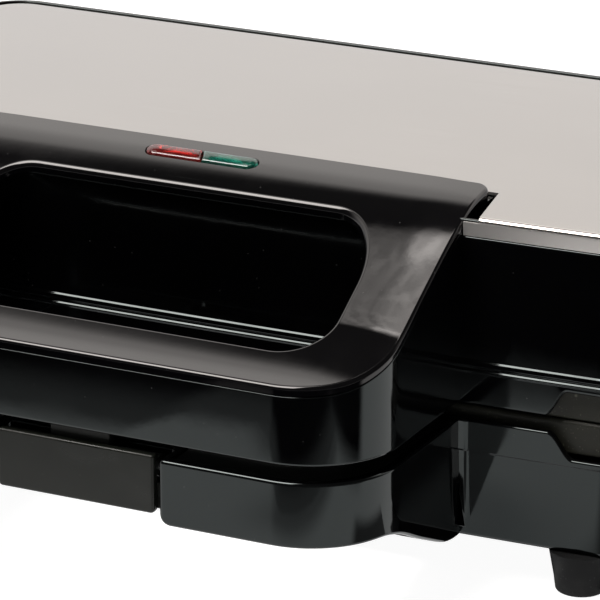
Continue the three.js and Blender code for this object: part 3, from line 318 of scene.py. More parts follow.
def body_ring(inset):
    """The housings' outline: a bowed front, straight sides and four rounded corners."""
    side = HALF_WIDTH - inset
    front = FRONT_BOW / 2 + FRONT_CORNER
    near = FRONT_CORNER - inset
    far = REAR_CORNER - inset
    back = BODY_DEPTH - REAR_CORNER
    return np.vstack((
        np.column_stack((FRONT_X, front_line(FRONT_X) + inset)),
        arc(SPAN, front, near, near, -QUARTER, 16),
        points(side, SIDE_Y),
        arc(HALF_WIDTH - REAR_CORNER, back, far, far, 0.0, 16),
        points(between(HALF_WIDTH - REAR_CORNER, REAR_CORNER - HALF_WIDTH, 9), BODY_DEPTH - inset),
        arc(REAR_CORNER - HALF_WIDTH, back, far, far, QUARTER, 16),
        points(-side, SIDE_Y[::-1]),
        arc(-SPAN, front, near, near, HALF_TURN, 16),
    ))


def notch_share(ring, setback, run):
    """How far the lip has stepped at each place of the outline, from 0 to 1."""
    along = (np.abs(ring[:, 0]) - HALF_WIDTH + setback) / run
    aside = (NOTCH_SIDE - ring[:, 1]) / run
    share = np.clip(np.minimum(along, aside), 0.0, 1.0)
    return (1.0 - np.cos(share * math.pi)) / 2


def wall_middle(x):
    """Depth of a place inside the front wall, where the handle's pieces end."""
    return front_line(x) + WALL / 2


def open_loop(half, radius, corner, front, seated, corner_steps, side_count, back_count):
    """An outline with two round front corners, whose back line is inside the front wall."""
    end = wall_middle(half) + seated
    side_y = np.append(between(front, end, side_count), end)
    back_x = between(half, -half, back_count)
    return np.vstack((
        arc(corner, front, radius, radius, -QUARTER, corner_steps),
        points(half, side_y),
        points(back_x, wall_middle(back_x) + seated),
        points(-half, side_y[::-1]),
        arc(-corner, front, radius, radius, HALF_TURN, corner_steps),
    ))


def handle_ring(inset):
    """The handle's outer outline."""
    return open_loop(
        HANDLE_HALF - inset, HANDLE_CORNER - inset, HANDLE_HALF - HANDLE_CORNER,
        HANDLE_FRONT + HANDLE_CORNER, LAP - inset * LAP_SLOPE, 20, 22, 15,
    )


def finger_ring(outset):
    """The finger opening's outline."""
    return open_loop(
        FINGER_HALF + outset, FINGER_CORNER + outset, FINGER_HALF - FINGER_CORNER,
        FINGER_FRONT + FINGER_CORNER, outset * LAP_SLOPE - LAP, 16, 12, 21,
    )


def window_ring(outset):
    """The panel's window: tight corners towards the rail and long ones towards the body."""
    half = FINGER_HALF + outset
    radius = FINGER_CORNER + outset
    front = FINGER_FRONT + FINGER_CORNER
    width = WINDOW_BACK_WIDTH + outset
    length = WINDOW_BACK_LENGTH + outset
    back = -FRONT_BOW / 2 - WINDOW_SETBACK - WINDOW_BACK_LENGTH
    corner = FINGER_HALF - WINDOW_BACK_WIDTH
    side_y = between(front, back, 6)
    back_x = between(corner, -corner, 11)
    return np.vstack((
        arc(FINGER_HALF - FINGER_CORNER, front, radius, radius, -QUARTER, 18),
        points(half, side_y),
        arc(corner, back, width, length, 0.0, 22),
        points(back_x, back + length),
        arc(-corner, back, width, length, QUARTER, 22),
        points(-half, side_y[::-1]),
        arc(FINGER_CORNER - FINGER_HALF, front, radius, radius, HALF_TURN, 18),
    ))


def panel_ring(inset):
    return rounded_rectangle(
        inset - HANDLE_HALF, HANDLE_HALF - inset, HANDLE_FRONT + inset, PANEL_LAP - inset,
        HANDLE_CORNER - inset, PANEL_BACK_CORNER - inset, steps=20, side_count=34,
    )


def lens_ring(outset, steps=14):
    half = LENS_LENGTH / 2 + outset
    reach = LENS_WIDTH / 2 + outset
    return rounded_rectangle(
        LENS_MIDDLE - half, LENS_MIDDLE + half, LENS_SETBACK - reach, LENS_SETBACK + reach,
        reach - TOL, steps=steps,
    )


def shrink(ring, inset):
    """Any outline moved inwards by a distance."""
    back = np.roll(ring, 1, axis=0)
    ahead = np.roll(ring, -1, axis=0)

    def inward(delta):
        length = np.linalg.norm(delta, axis=1, keepdims=True)
        return np.column_stack((-delta[:, 1], delta[:, 0])) / np.maximum(length, TOL)

    first = inward(ring - back)
    second = inward(ahead - ring)
    both = first + second
    scale = 2.0 / np.maximum((both**2).sum(axis=1, keepdims=True), 0.5)
    return ring + both * scale * inset


# Side outlines
def catmull_rom(knots, steps=40):
    """A smooth line through points, as x, y samples."""
    knots = np.array(knots, float)
    padded = np.vstack((knots[:1], knots, knots[-1:]))
    line = []
    for k in range(len(knots) - 1):
        a, b, c, d = padded[k:k + 4]
        for t in np.arange(steps) / steps:
            line.append(
                b + (c - a) * t / 2
                + (2 * a - 5 * b + 4 * c - d) * t**2 / 2
                + (3 * b - 3 * c + d - a) * t**3 / 2
            )
    line.append(knots[-1])
    return np.array(line)


PANEL_SHARES = (
    (0, 0), (0.061, 0.0205), (0.097, 0.0405), (0.1445, 0.0785), (0.216, 0.147), (0.3, 0.237),
    (0.36, 0.314), (0.455, 0.449), (0.563, 0.5985), (0.658, 0.7265), (0.718, 0.805),
    (0.754, 0.8475), (0.802, 0.898), (0.8375, 0.93), (0.8735, 0.954), (0.909, 0.97), (1, 1),
)
UNDERSIDE_SHARES = (
    (0, 1), (0.17, 1.004), (0.29, 1.004), (0.35, 0.965), (0.43, 0.865), (0.5, 0.745),
    (0.6165, 0.52), (0.7385, 0.305), (0.82, 0.165), (0.89, 0.065), (0.95, 0.015), (1, 0),
)
panel_line = catmull_rom([
    (HANDLE_FRONT + (PANEL_LAP - HANDLE_FRONT) * along, PANEL_FRONT + (PANEL_TOP - PANEL_FRONT) * up)
    for along, up in PANEL_SHARES
])
panel_slope = np.gradient(panel_line[:, 1], panel_line[:, 0])
underside_line = catmull_rom([
    (HANDLE_FRONT + HANDLE_REACH * along, BASE_BOTTOM + (HANDLE_FOOT - BASE_BOTTOM) * up)
    for along, up in UNDERSIDE_SHARES
])


def panel_height(y):
    return np.interp(y, panel_line[:, 0], panel_line[:, 1])


def panel_top(spots):
    """Height of the panel's top, which falls a little towards both ends."""
    beyond = np.clip((np.abs(spots[:, 0]) - CROWN_START) / CROWN_RUN, 0.0, 1.2)
    return panel_height(spots[:, 1]) - CROWN_DROP * beyond**2


def panel_tilt(spots):
    """Unit normals of the panel's top."""
    slope = np.interp(spots[:, 1], panel_line[:, 0], panel_slope)
    beyond = np.clip((np.abs(spots[:, 0]) - CROWN_START) / CROWN_RUN, 0.0, 1.2)
    lean = 2 * CROWN_DROP * beyond / CROWN_RUN * np.sign(spots[:, 0])
    normals = np.column_stack((lean, -slope, np.ones(len(slope))))
    return normals / np.linalg.norm(normals, axis=1, keepdims=True)


def underside_height(y):
    return np.interp(y, underside_line[:, 0], underside_line[:, 1])


def eased(corners, steps=4):
    """A line of (across, up, radius) corners with each corner rounded to its radius."""
    spots = np.array([c[:2] for c in corners], float)
    line = [spots[0]]
    for k in range(1, len(corners) - 1):
        radius = corners[k][2]
        to_back = spots[k - 1] - spots[k]
        to_next = spots[k + 1] - spots[k]
        back_length = np.linalg.norm(to_back)
        next_length = np.linalg.norm(to_next)
        to_back = to_back / back_length
        to_next = to_next / next_length
        half = math.acos(np.clip(to_back @ to_next, -1.0, 1.0)) / 2
        if radius == 0 or half > QUARTER - TOL:
            line.append(spots[k])
            continue
        reach = min(radius / math.tan(half), back_length * 0.49, next_length * 0.49)
        radius = reach * math.tan(half)
        middle = to_back + to_next
        centre = spots[k] + middle / np.linalg.norm(middle) * radius / math.sin(half)
        first = spots[k] + to_back * reach - centre
        last = spots[k] + to_next * reach - centre
        swing = math.acos(np.clip(first @ last / radius**2, -1.0, 1.0))
        for i in range(steps + 1):
            t = i / steps
            mix = (math.sin((1 - t) * swing) * first + math.sin(t * swing) * last) / math.sin(swing)
            line.append(centre + mix)
    line.append(spots[-1])
    return np.array(line)


def side_outline(corners):
    """A closed side outline from (depth, height, radius) corners, without its doubled ends."""
    return eased((corners[-1], *corners, corners[0]), 6)[1:-1]


def quarter_round(radius, steps=4):
    """(inset, drop, share of the upward normal) from a vertical wall to the flat beyond it."""
    angles = QUARTER * np.arange(steps + 1) / steps
    return [
        (radius * (1 - math.cos(a)), radius * (1 - math.sin(a)), math.sin(a)) for a in angles
    ]


def at_height(ring, height):
    return np.column_stack((ring, np.broadcast_to(height, len(ring))))


def inside(spots, ring):
    """Which points lie within a closed outline."""
    found = np.zeros(len(spots), bool)
    x, y = spots.T
    for (x1, y1), (x2, y2) in zip(ring, np.roll(ring, -1, axis=0)):
        if y1 == y2:
            continue
        crosses = (y1 > y) != (y2 > y)
        found ^= crosses & (x < (x2 - x1) * (y - y1) / (y2 - y1) + x1)
    return found


def within(spots, outlines):
    """Which points lie inside the first outline and outside the others."""
    keep = inside(spots, outlines[0])
    for hole in outlines[1:]:
        keep &= ~inside(spots, hole)
    return keep


def rows(ring, spacing_x, spacing_y):
    """A grid of points over an outline's box."""
    low, high = ring.min(axis=0), ring.max(axis=0)
    xs = np.arange(low[0] + spacing_x / 2, high[0], spacing_x)
    ys = np.arange(low[1] + spacing_y / 2, high[1], spacing_y)
    return np.array([(x, y) for y in ys for x in xs])


class Skin:
    """Gathers one piece's points and faces in millimetres, then makes its mesh."""

    def __init__(self):
        self.spots = []
        self.faces = []
        self.normals = {}

    def ring(self, spots, normals=None):
        start = len(self.spots)
        self.spots.extend(map(tuple, spots))
        made = list(range(start, start + len(spots)))
        if normals is not None:
            self.normals.update(zip(made, map(tuple, normals)))
        return made

    def join(self, made, closed=True, around=False):
        """Joins rings one after another, and the last to the first on demand."""
        for first, second in zip(made, made[1:] + made[:1] * around):
            count = len(first)
            for i in range(count if closed else count - 1):
                j = (i + 1) % count
                self.faces.append((first[i], first[j], second[j], second[i]))
        return made

    def loft(self, rings, closed=True, around=False):
        return self.join([self.ring(r) for r in rings], closed, around)

    def stack(self, outline, levels):
        """Joins an outline drawn at each (inset, height) level."""
        return self.loft([at_height(outline(inset), height) for inset, height in levels])

    def wall(self, outline, bottom, top):
        return self.loft([at_height(outline, bottom), at_height(outline, top)])

    def fill(self, outer, holes=(), grid=None, height=None, normal=None):
        """Closes the space between an outline and the holes in it with triangles."""
        loops = [outer, *holes]
        outlines = [np.array([self.spots[i][:2] for i in loop]) for loop in loops]
        source = [i for loop in loops for i in loop]
        flat = [self.spots[i][:2] for i in source]
        edges = []
        for loop in loops:
            start, count = len(edges), len(loop)
            edges += [(start + k, start + (k + 1) % count) for k in range(count)]
        if grid is not None and len(grid):
            rims = np.vstack(outlines)
            keep = within(grid, outlines)
            for k in np.flatnonzero(keep):
                keep[k] = ((rims - grid[k])**2).sum(axis=1).min() >= NEAR_RIM
            extra = grid[keep]
            source += self.ring(
                at_height(extra, height(extra)), None if normal is None else normal(extra),
            )
            flat += [tuple(p) for p in extra]
        spots, _, triangles, origin, _, _ = delaunay_2d_cdt(
            [Vector(p) for p in flat], edges, [], 0, TOL, True,
        )
        spots = np.array([tuple(p) for p in spots])
        middles = np.array([spots[list(t)].mean(axis=0) for t in triangles])
        for k in np.flatnonzero(within(middles, outlines)):
            self.faces.append(tuple(source[origin[i][0]] for i in triangles[k]))

    def cap(self, ring):
        self.faces.append(tuple(ring))

    def shift(self, place, start=0):
        """Moves the points from a number on by a placing."""
        self.spots[start:] = [tuple(p) for p in place(np.array(self.spots[start:], float))]

    def mesh(self, name):
        """The mesh in metres, with its faces turned outwards."""
        placed = np.array(self.spots, float)
        placed[:, 1] += FRONT_SHIFT
        made = bpy.data.meshes.new(name)
        made.from_pydata((placed * MM).tolist(), [], self.faces)
        made.update()
        work = bmesh.new()
        work.from_mesh(made)
        bmesh.ops.recalc_face_normals(work, faces=work.faces)
        work.to_mesh(made)
        work.free()
        made.update()
        return made


def piece(name, skin, body, material, stands_for, sharp=SHARP_TURN):
    """Makes a piece from a skin, smooths it and lets it ride on its body."""
    mesh = skin.mesh(name)
    mesh.shade_smooth()
    thing = bpy.data.objects.new(name, mesh)
    bpy.context.scene.collection.objects.link(thing)
    mesh.materials.append(material)
    if skin.normals:
        own = [skin.normals.get(v.index, tuple(v.normal)) for v in mesh.vertices]
        mesh.normals_split_custom_set_from_vertices(own)
    else:
        mesh.set_sharp_from_angle(angle=math.radians(sharp))
        weigh = thing.modifiers.new("even shading", "WEIGHTED_NORMAL")
        weigh.keep_sharp = True
    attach(thing, body)
    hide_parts(*stands_for)
    return thing


def carve(thing, skin):
    """Cuts a skin's solid out of a piece and keeps the result as the piece's own mesh."""
    cutter = bpy.data.objects.new("cutter", skin.mesh("cutter"))
    bpy.context.scene.collection.objects.link(cutter)
    cut = thing.modifiers.new("cut", "BOOLEAN")
    cut.operation = "DIFFERENCE"
    cut.solver = "EXACT"
    cut.use_self = True
    cut.object = cutter
    others = [m for m in thing.modifiers if m != cut]
    for other in others:
        other.show_viewport = False
    bpy.context.view_layer.update()
    seen = thing.evaluated_get(bpy.context.evaluated_depsgraph_get())
    made = bpy.data.meshes.new_from_object(seen)
    made.name = thing.name
    made.set_sharp_from_angle(angle=math.radians(SHARP_TURN))
    thing.modifiers.remove(cut)
    thing.data = made
    for other in others:
        other.show_viewport = True
    bpy.data.objects.remove(cutter)


def add_box(skin, left, right, front, back, bottom, top):
    made = skin.wall(rectangle(left, right, front, back), bottom, top)
    skin.cap(made[0])
    skin.cap(made[1])


def add_slab(skin, outline, bottom, top, edge, place=None, holes=()):
    """A plate of any outline between two heights, with its edges rounded."""
    rounds = [(inset, drop) for inset, drop, _ in quarter_round(edge, 3)]
    levels = [(i, bottom + drop) for i, drop in rounds[::-1]]
    levels += [(i, top - drop) for i, drop in rounds]
    made = skin.stack(lambda inset: shrink(outline, inset), levels)
    inner = [skin.wall(hole, bottom, top) for hole in holes]
    skin.fill(made[0], [h[0] for h in inner])
    skin.fill(made[-1], [h[-1] for h in inner])
    if place is not None:
        skin.shift(place, made[0][0])


def add_turned(skin, profile, sides, place):
    """A body of revolution, from (radius, height) points that start and end on its axis."""
    start = len(skin.spots)
    first = skin.ring([(0.0, 0.0, profile[0][1])])[0]
    made = [skin.ring(at_height(circle(sides) * r, z)) for r, z in profile[1:-1]]
    last = skin.ring([(0.0, 0.0, profile[-1][1])])[0]
    skin.join(made)
    for k in range(sides):
        j = (k + 1) % sides
        skin.faces.append((first, made[0][k], made[0][j]))
        skin.faces.append((last, made[-1][j], made[-1][k]))
    skin.shift(place, start)


def facing_x(x, y, z, side=1):
    """A placing that lays a shape's height along the machine's width."""
    return lambda p: np.column_stack((x + side * p[:, 2], y + p[:, 0], z + p[:, 1]))


def facing_front(x, y, z):
    """A placing that stands a shape up, with its height towards the back."""
    return lambda p: np.column_stack((x + p[:, 0], y + p[:, 2], z + p[:, 1]))


# Materials
def feed(tree, made, inputs):
    """Fills a node's inputs, each from another node's output or with a plain value."""
    for label, value in inputs.items():
        if isinstance(value, bpy.types.NodeSocket):
            tree.links.new(value, made.inputs[label])
        else:
            made.inputs[label].default_value = value
    return made


def node(tree, kind, inputs=None, **settings):
    made = tree.nodes.new(kind)
    for key, value in settings.items():
        setattr(made, key, value)
    return feed(tree, made, inputs or {})


def maths(tree, kind, *terms):
    return node(tree, "ShaderNodeMath", dict(enumerate(terms)), operation=kind).outputs[0]


def product(tree, *terms):
    return functools.reduce(lambda a, b: maths(tree, "MULTIPLY", a, b), terms)


def spread(tree, value, low, high, to_low=0.0, to_high=1.0):
    """Maps a value from one range to another, softly and within its ends."""
    return node(tree, "ShaderNodeMapRange", {
        "Value": value, "From Min": low, "From Max": high, "To Min": to_low, "To Max": to_high,
    }, interpolation_type="SMOOTHSTEP").outputs["Result"]


def spot_in(tree, kind="Object"):
    return node(tree, "ShaderNodeTexCoord").outputs[kind]


def axes(tree, vector):
    return node(tree, "ShaderNodeSeparateXYZ", {0: vector}).outputs


def noise(tree, vector, scale, detail, roughness=0.5):
    return node(tree, "ShaderNodeTexNoise", {
        "Vector": vector, "Scale": scale, "Detail": detail, "Roughness": roughness,
    }).outputs["Fac"]


def new_group(name, inputs, outputs, build):
    """A shader node group with named sockets, whose outputs come from the build function."""
    group = bpy.data.node_groups.new(name, "ShaderNodeTree")
    for label, default in inputs.items():
        made = group.interface.new_socket(
            name=label, in_out="INPUT", socket_type="NodeSocketFloat",
        )
        made.default_value = default
    for label in outputs:
        group.interface.new_socket(name=label, in_out="OUTPUT", socket_type="NodeSocketFloat")
    given = node(group, "NodeGroupInput").outputs
    node(group, "NodeGroupOutput", build(group, given))
    return group


def soft_patches(tree, given):
    """Soft patches between two values, as handling and moulding leave."""
    cloud = noise(tree, spot_in(tree), given["Scale"], 4.0, 0.6)
    return {"Value": spread(tree, cloud, 0.35, 0.65, given["Low"], given["High"])}


def fine_grain(tree, given):
    """Fine even grain: the height of a moulded or cast texture."""
    spot = spot_in(tree)
    fine = noise(tree, spot, given["Scale"], 2.0)
    broad = noise(tree, spot, maths(tree, "MULTIPLY", given["Scale"], 0.12), 1.0)
    return {"Height": maths(tree, "MULTIPLY_ADD", broad, given["Coarse"], fine)}


def brushed_lines(tree, given):
    """Brushing lines that run along the machine's width."""
    spot = axes(tree, spot_in(tree))
    stretched = node(tree, "ShaderNodeCombineXYZ", {
        axis: maths(tree, "MULTIPLY", spot[axis], given[rate])
        for axis, rate in (("X", "Length"), ("Y", "Lines"), ("Z", "Lines"))
    }).outputs[0]
    lines = noise(tree, stretched, 1.0, 3.0, 0.7)
    return {"Height": lines, "Value": spread(tree, lines, 0.3, 0.7)}


def scattered_specks(tree, given):
    """A mask of small scattered specks, for a sprayed coating or a little dust."""
    cells = node(tree, "ShaderNodeTexVoronoi", {
        "Vector": spot_in(tree), "Scale": given["Scale"],
    }).outputs
    pick = node(tree, "ShaderNodeSeparateColor", {0: cells["Color"]}).outputs[0]
    chosen = maths(tree, "LESS_THAN", pick, given["Share"])
    near = spread(tree, cells["Distance"], 0.1, 0.4, 1.0, 0.0)
    return {"Mask": maths(tree, "MULTIPLY", chosen, near)}


def rubbed_edges(tree, given):
    """A mask of the edges that hands and cloths rub, broken up by patches."""
    flat = 0.51
    bend = node(tree, "ShaderNodeNewGeometry").outputs["Pointiness"]
    edge = spread(tree, bend, flat, maths(tree, "ADD", flat, given["Reach"]))
    broken = spread(tree, noise(tree, spot_in(tree), given["Scale"], 5.0), 0.4, 0.65)
    return {"Mask": maths(tree, "MULTIPLY", edge, broken)}


PATCHES = new_group(
    "soft patches", {"Scale": 20.0, "Low": 0.0, "High": 1.0}, ("Value",), soft_patches,
)
GRAIN = new_group("fine grain", {"Scale": 2000.0, "Coarse": 0.3}, ("Height",), fine_grain)
BRUSHED = new_group(
    "brushed lines", {"Lines": 1500.0, "Length": 9.0}, ("Value", "Height"), brushed_lines,
)
SPECKS = new_group("specks", {"Scale": 900.0, "Share": 0.2}, ("Mask",), scattered_specks)
RUBBED = new_group("rubbed edges", {"Reach": 0.02, "Scale": 60.0}, ("Mask",), rubbed_edges)


class Finish:
    """One material under construction: a Principled shader and the effects that feed it."""

    def __init__(self, name, **sockets):
        self.material = bpy.data.materials.new(name)
        self.material.use_nodes = True
        self.tree = self.material.node_tree
        self.shader = self.tree.nodes["Principled BSDF"]
        self.set(**sockets)

    def set(self, **sockets):
        """Fills the shader's own inputs, whose names have underscores here for their spaces."""
        feed(self.tree, self.shader, {k.replace("_", " "): v for k, v in sockets.items()})

    def effect(self, group, **values):
        return node(self.tree, "ShaderNodeGroup", values, node_tree=group).outputs

    def mix(self, mask, first, second):
        """A colour between two, by a mask. Either colour may come from another mix."""
        first, second = ((*c, 1.0) if isinstance(c, tuple) else c for c in (first, second))
        return node(
            self.tree, "ShaderNodeMix", {"Factor": mask, 6: first, 7: second}, data_type="RGBA",
        ).outputs[2]

    def larger(self, first, second):
        return maths(self.tree, "MAXIMUM", first, second)

    def span(self, value, low, high):
        return spread(self.tree, value, 0.0, 1.0, low, high)

    def bump(self, height, strength, distance):
        self.set(Normal=node(self.tree, "ShaderNodeBump", {
            "Strength": strength, "Distance": distance, "Height": height,
        }).outputs["Normal"])


def gloss_plastic(name, dark, pale, sheen):
    """Piano-gloss plastic: faint orange peel, finger smears and a few specks of dust."""
    clean, smeared = 0.035, 0.16
    finish = Finish(name, IOR=1.5, Specular_IOR_Level=0.41, Specular_Tint=(*sheen, 1.0))
    patches = finish.effect(PATCHES, Scale=9.0)["Value"]
    smears = finish.effect(PATCHES, Scale=38.0)["Value"]
    dust = finish.effect(SPECKS, Scale=1500.0, Share=0.004)["Mask"]
    worn = finish.effect(RUBBED, Reach=0.05, Scale=45.0)["Mask"]
    finish.set(
        Base_Color=finish.mix(dust, finish.mix(patches, dark, pale), (0.03, 0.03, 0.03)),
        Roughness=finish.larger(
            finish.span(smears, clean, smeared * 0.6),
            finish.span(finish.larger(dust, worn), 0.0, smeared),
        ),
    )
    finish.bump(finish.effect(GRAIN, Scale=420.0, Coarse=0.8)["Height"], 0.35, 0.000012)
    return finish.material


def brushed_steel():
    """Brushed stainless steel, duller where the sheet is turned down, and painted paler there as a
    painted highlight.
    """
    finish = Finish("brushed stainless steel", Metallic=1.0)
    lines = finish.effect(BRUSHED, Lines=2600.0, Length=14.0)
    patches = finish.effect(PATCHES, Scale=7.0)["Value"]
    smears = finish.effect(PATCHES, Scale=26.0)["Value"]
    upward = axes(finish.tree, spot_in(finish.tree, "Normal"))["Z"]
    turned_with_painted_light = spread(finish.tree, upward, 0.1, 0.4, 1.0, 0.0)
    tone = finish.mix(patches, (0.467, 0.446, 0.428), (0.489, 0.466, 0.446))
    tone = finish.mix(lines["Value"], tone, (0.457, 0.436, 0.416))
    polished = finish.larger(
        finish.span(lines["Value"], 0.14, 0.18), finish.span(smears, 0.13, 0.165),
    )
    finish.set(
        # The paler colour on the turned-down flange is a painted highlight, not a tone of the steel
        # itself.
        Base_Color=finish.mix(turned_with_painted_light, tone, (0.72, 0.69, 0.67)),
        Roughness=finish.larger(polished, finish.span(turned_with_painted_light, 0.0, 0.42)),
    )
    finish.bump(lines["Height"], 0.25, 0.00001)
    return finish.material


def aluminised_sheet():
    finish = Finish("aluminised sheet", Metallic=1.0)
    patches = finish.effect(PATCHES, Scale=40.0)["Value"]
    lines = finish.effect(BRUSHED, Lines=900.0, Length=30.0)
    tone = finish.mix(patches, (0.5, 0.5, 0.5), (0.62, 0.62, 0.61))
    finish.set(
        Base_Color=finish.mix(lines["Value"], tone, (0.54, 0.53, 0.51)),
        Roughness=finish.span(patches, 0.35, 0.55),
    )
    finish.bump(lines["Height"], 0.3, 0.00002)
    return finish.material


def patchy(name, patch_scale, tones, rough, grain, marks=(), rubbed=None, **sockets):
    """A finish with soft patches in its colour, marks over them, and a fine grain.

    Its roughness follows the patches or, where hands polish it, the rubbed edges. The grain is
    given as scale, coarseness, strength and distance, and each mark as group, sizes and colour.
    """
    finish = Finish(name, **sockets)
    patches = finish.effect(PATCHES, Scale=patch_scale)["Value"]
    tone = finish.mix(patches, *tones)
    for group, sizes, colour in marks:
        tone = finish.mix(finish.effect(group, **sizes)["Mask"], tone, colour)
    worn = finish.effect(RUBBED, **rubbed)["Mask"] if rubbed else patches
    finish.set(Base_Color=tone, Roughness=finish.span(worn, *rough))
    scale, coarse, strength, distance = grain
    height = finish.effect(GRAIN, Scale=scale, Coarse=coarse)["Height"]
    finish.bump(height, strength, distance)
    return finish.material


def clear_plastic(name, deep, colour, transmission=0.75):
    """Tinted see-through plastic, a little cloudier in patches."""
    return patchy(
        name, 240.0, (deep, colour), (0.03, 0.14), (600.0, 0.6, 0.2, 0.00001),
        IOR=1.49, Transmission_Weight=transmission,
    )


GLOSS = gloss_plastic(
    "gloss black plastic", (0.0005, 0.0005, 0.0006), (0.0009, 0.0009, 0.0011), (0.78, 0.88, 0.88),
)
PANEL_GLOSS = gloss_plastic(
    "gloss black panel", (0.0006, 0.0006, 0.0008), (0.0011, 0.001, 0.0014), (1.0, 0.98, 0.98),
)
SATIN = patchy(
    "satin black plastic", 30.0, ((0.004, 0.0048, 0.0036), (0.006, 0.007, 0.0054)),
    (0.42, 0.252), (2600.0, 0.2, 0.5, 0.00002),
    ((SPECKS, {"Scale": 700.0, "Share": 0.03}, (0.0108, 0.0126, 0.00972)),),
    {"Reach": 0.04, "Scale": 70.0}, IOR=1.5, Specular_IOR_Level=0.25,
)
RUBBER = patchy(
    "moulded rubber", 90.0, ((0.003, 0.0032, 0.0034), (0.007, 0.0074, 0.0078)),
    (0.55, 0.8), (3000.0, 0.4, 0.5, 0.00004),
    ((SPECKS, {"Scale": 1100.0, "Share": 0.08}, (0.02, 0.02, 0.02)),),
    IOR=1.5, Specular_IOR_Level=0.18,
)
STEEL = brushed_steel()
PLATED = patchy(
    "plated steel", 160.0, ((0.42, 0.43, 0.45), (0.56, 0.57, 0.58)),
    (0.22, 0.4), (4000.0, 0.5, 0.2, 0.00001),
    ((RUBBED, {"Reach": 0.05, "Scale": 200.0}, (0.72, 0.72, 0.72)),), Metallic=1.0,
)
SHEET_METAL = aluminised_sheet()
COATING = patchy(
    "non-stick coating", 60.0, ((0.009, 0.009, 0.0065), (0.016, 0.0165, 0.012)),
    (0.42, 0.6), (1700.0, 0.6, 0.6, 0.00006),
    ((SPECKS, {"Scale": 1500.0, "Share": 0.22}, (0.05, 0.05, 0.037)),
     (SPECKS, {"Scale": 650.0, "Share": 0.08}, (0.09, 0.09, 0.07))),
    IOR=1.42, Specular_IOR_Level=0.35,
)
NYLON = patchy(
    "natural nylon", 120.0, ((0.62, 0.59, 0.51), (0.72, 0.70, 0.63)),
    (0.4, 0.6), (2500.0, 0.3, 0.3, 0.00002), IOR=1.5, Subsurface_Weight=0.2,
)
RED_LENS = clear_plastic("red lamp lens", (0.16, 0.003, 0.002), (0.3, 0.009, 0.006))
GREEN_LENS = clear_plastic("green lamp lens", (0.003, 0.085, 0.06), (0.01, 0.2, 0.135))
LAMP_GLASS = clear_plastic("lamp glass", (0.9, 0.88, 0.84), (0.95, 0.93, 0.9), 1.0)


# Forms that the lid and the base share
def stepped_rings(profile, lip, step, setback, run):
    """Body outlines up a wall's profile, whose lip steps away at the steam notches."""
    steps = step * notch_share(body_ring(0.0), setback, run)
    return [
        at_height(body_ring(inset), height + steps * (abs(height - lip) < LIP_REACH))
        for inset, height in profile
    ]


def hinge_eye(start):
    """The round end of an ear or a cheek about the hinge's axis."""
    angles = start + HALF_TURN * np.arange(17) / 16
    return np.column_stack((
        HINGE_Y + HINGE_RADIUS * np.cos(angles), HINGE_Z + HINGE_RADIUS * np.sin(angles),
    ))


def cut_openings(shell, slide):
    """Cuts the hinge pins' holes and the slots for the tongues of two release slides."""
    skin = Skin()
    radius = PIN_RADIUS + GAP
    reach = 15
    for _, side in SIDES:
        add_turned(
            skin, ((0, -reach), (radius, -reach), (radius, reach), (0, reach)), 24,
            facing_x(side * HINGE_SPACING / 2, HINGE_Y, HINGE_Z),
        )
    _, y, z = middle_of(slide)
    half, rise = TONGUE_WIDTH / 2 + GAP, TONGUE_THICKNESS / 2 + GAP
    for _, side in SIDES:
        x = side * HALF_WIDTH
        add_box(skin, x - OVERRUN, x + OVERRUN, y - half, y + half, z - rise, z + rise)
    carve(shell, skin)


def block(outline, bottom, top):
    """A straight-sided block to carve with."""
    skin = Skin()
    made = skin.wall(outline, bottom, top)
    skin.fill(made[0])
    skin.fill(made[1])
    return skin


# Lid
def lid_walls(skin):
    """The lid's walls, bead, rim and deck as one closed shell."""
    deck_inset = LID_DRAFT + SHEET + GAP
    bead_foot = LID_BOTTOM + BEAD_RISE
    bead_head = bead_foot + BEAD_HEIGHT
    ridge_top = bead_foot + 2 * RIDGE_PROUD
    lean = LID_DRAFT * BEAD_RISE / (LID_RIM - LID_BOTTOM)
    head_lean = LID_DRAFT * (BEAD_RISE + BEAD_HEIGHT) / (LID_RIM - LID_BOTTOM)
    profile = eased((
        (deck_inset + WALL, DECK_TOP, 0),
        (deck_inset, DECK_TOP, SOFT),
        (deck_inset, FLANGE_FOOT, TIGHT),
        (LID_DRAFT, FLANGE_FOOT, ROUND),
        (head_lean, bead_head, FINE_EDGE),
        (head_lean - BEAD_PROUD, bead_head - BEAD_PROUD, FINE_EDGE),
        (lean - BEAD_PROUD, ridge_top + 2 * BEAD_PROUD, CRISP),
        (lean, ridge_top + BEAD_PROUD, TIGHT),
        (lean, ridge_top, TIGHT),
        (lean - RIDGE_PROUD, ridge_top - RIDGE_PROUD, KEEN),
        (lean - RIDGE_PROUD, bead_foot, KEEN),
        (lean, bead_foot - RIDGE_PROUD, CRISP),
        (0, LID_BOTTOM, LIP_EDGE),
        (WALL, LID_BOTTOM, ROUND),
        (WALL + LID_DRAFT, DECK_UNDER, 2.0),
        (2 * WALL + LID_DRAFT, DECK_UNDER, 0),
    ))
    made = skin.loft(stepped_rings(
        profile, LID_BOTTOM, LID_NOTCH_RISE, LID_NOTCH_START, LID_NOTCH_RUN,
    ))
    hole = skin.wall(lens_ring(GAP), DECK_UNDER, DECK_TOP)
    skin.fill(made[0], [hole[1]])
    skin.fill(made[-1], [hole[0]])


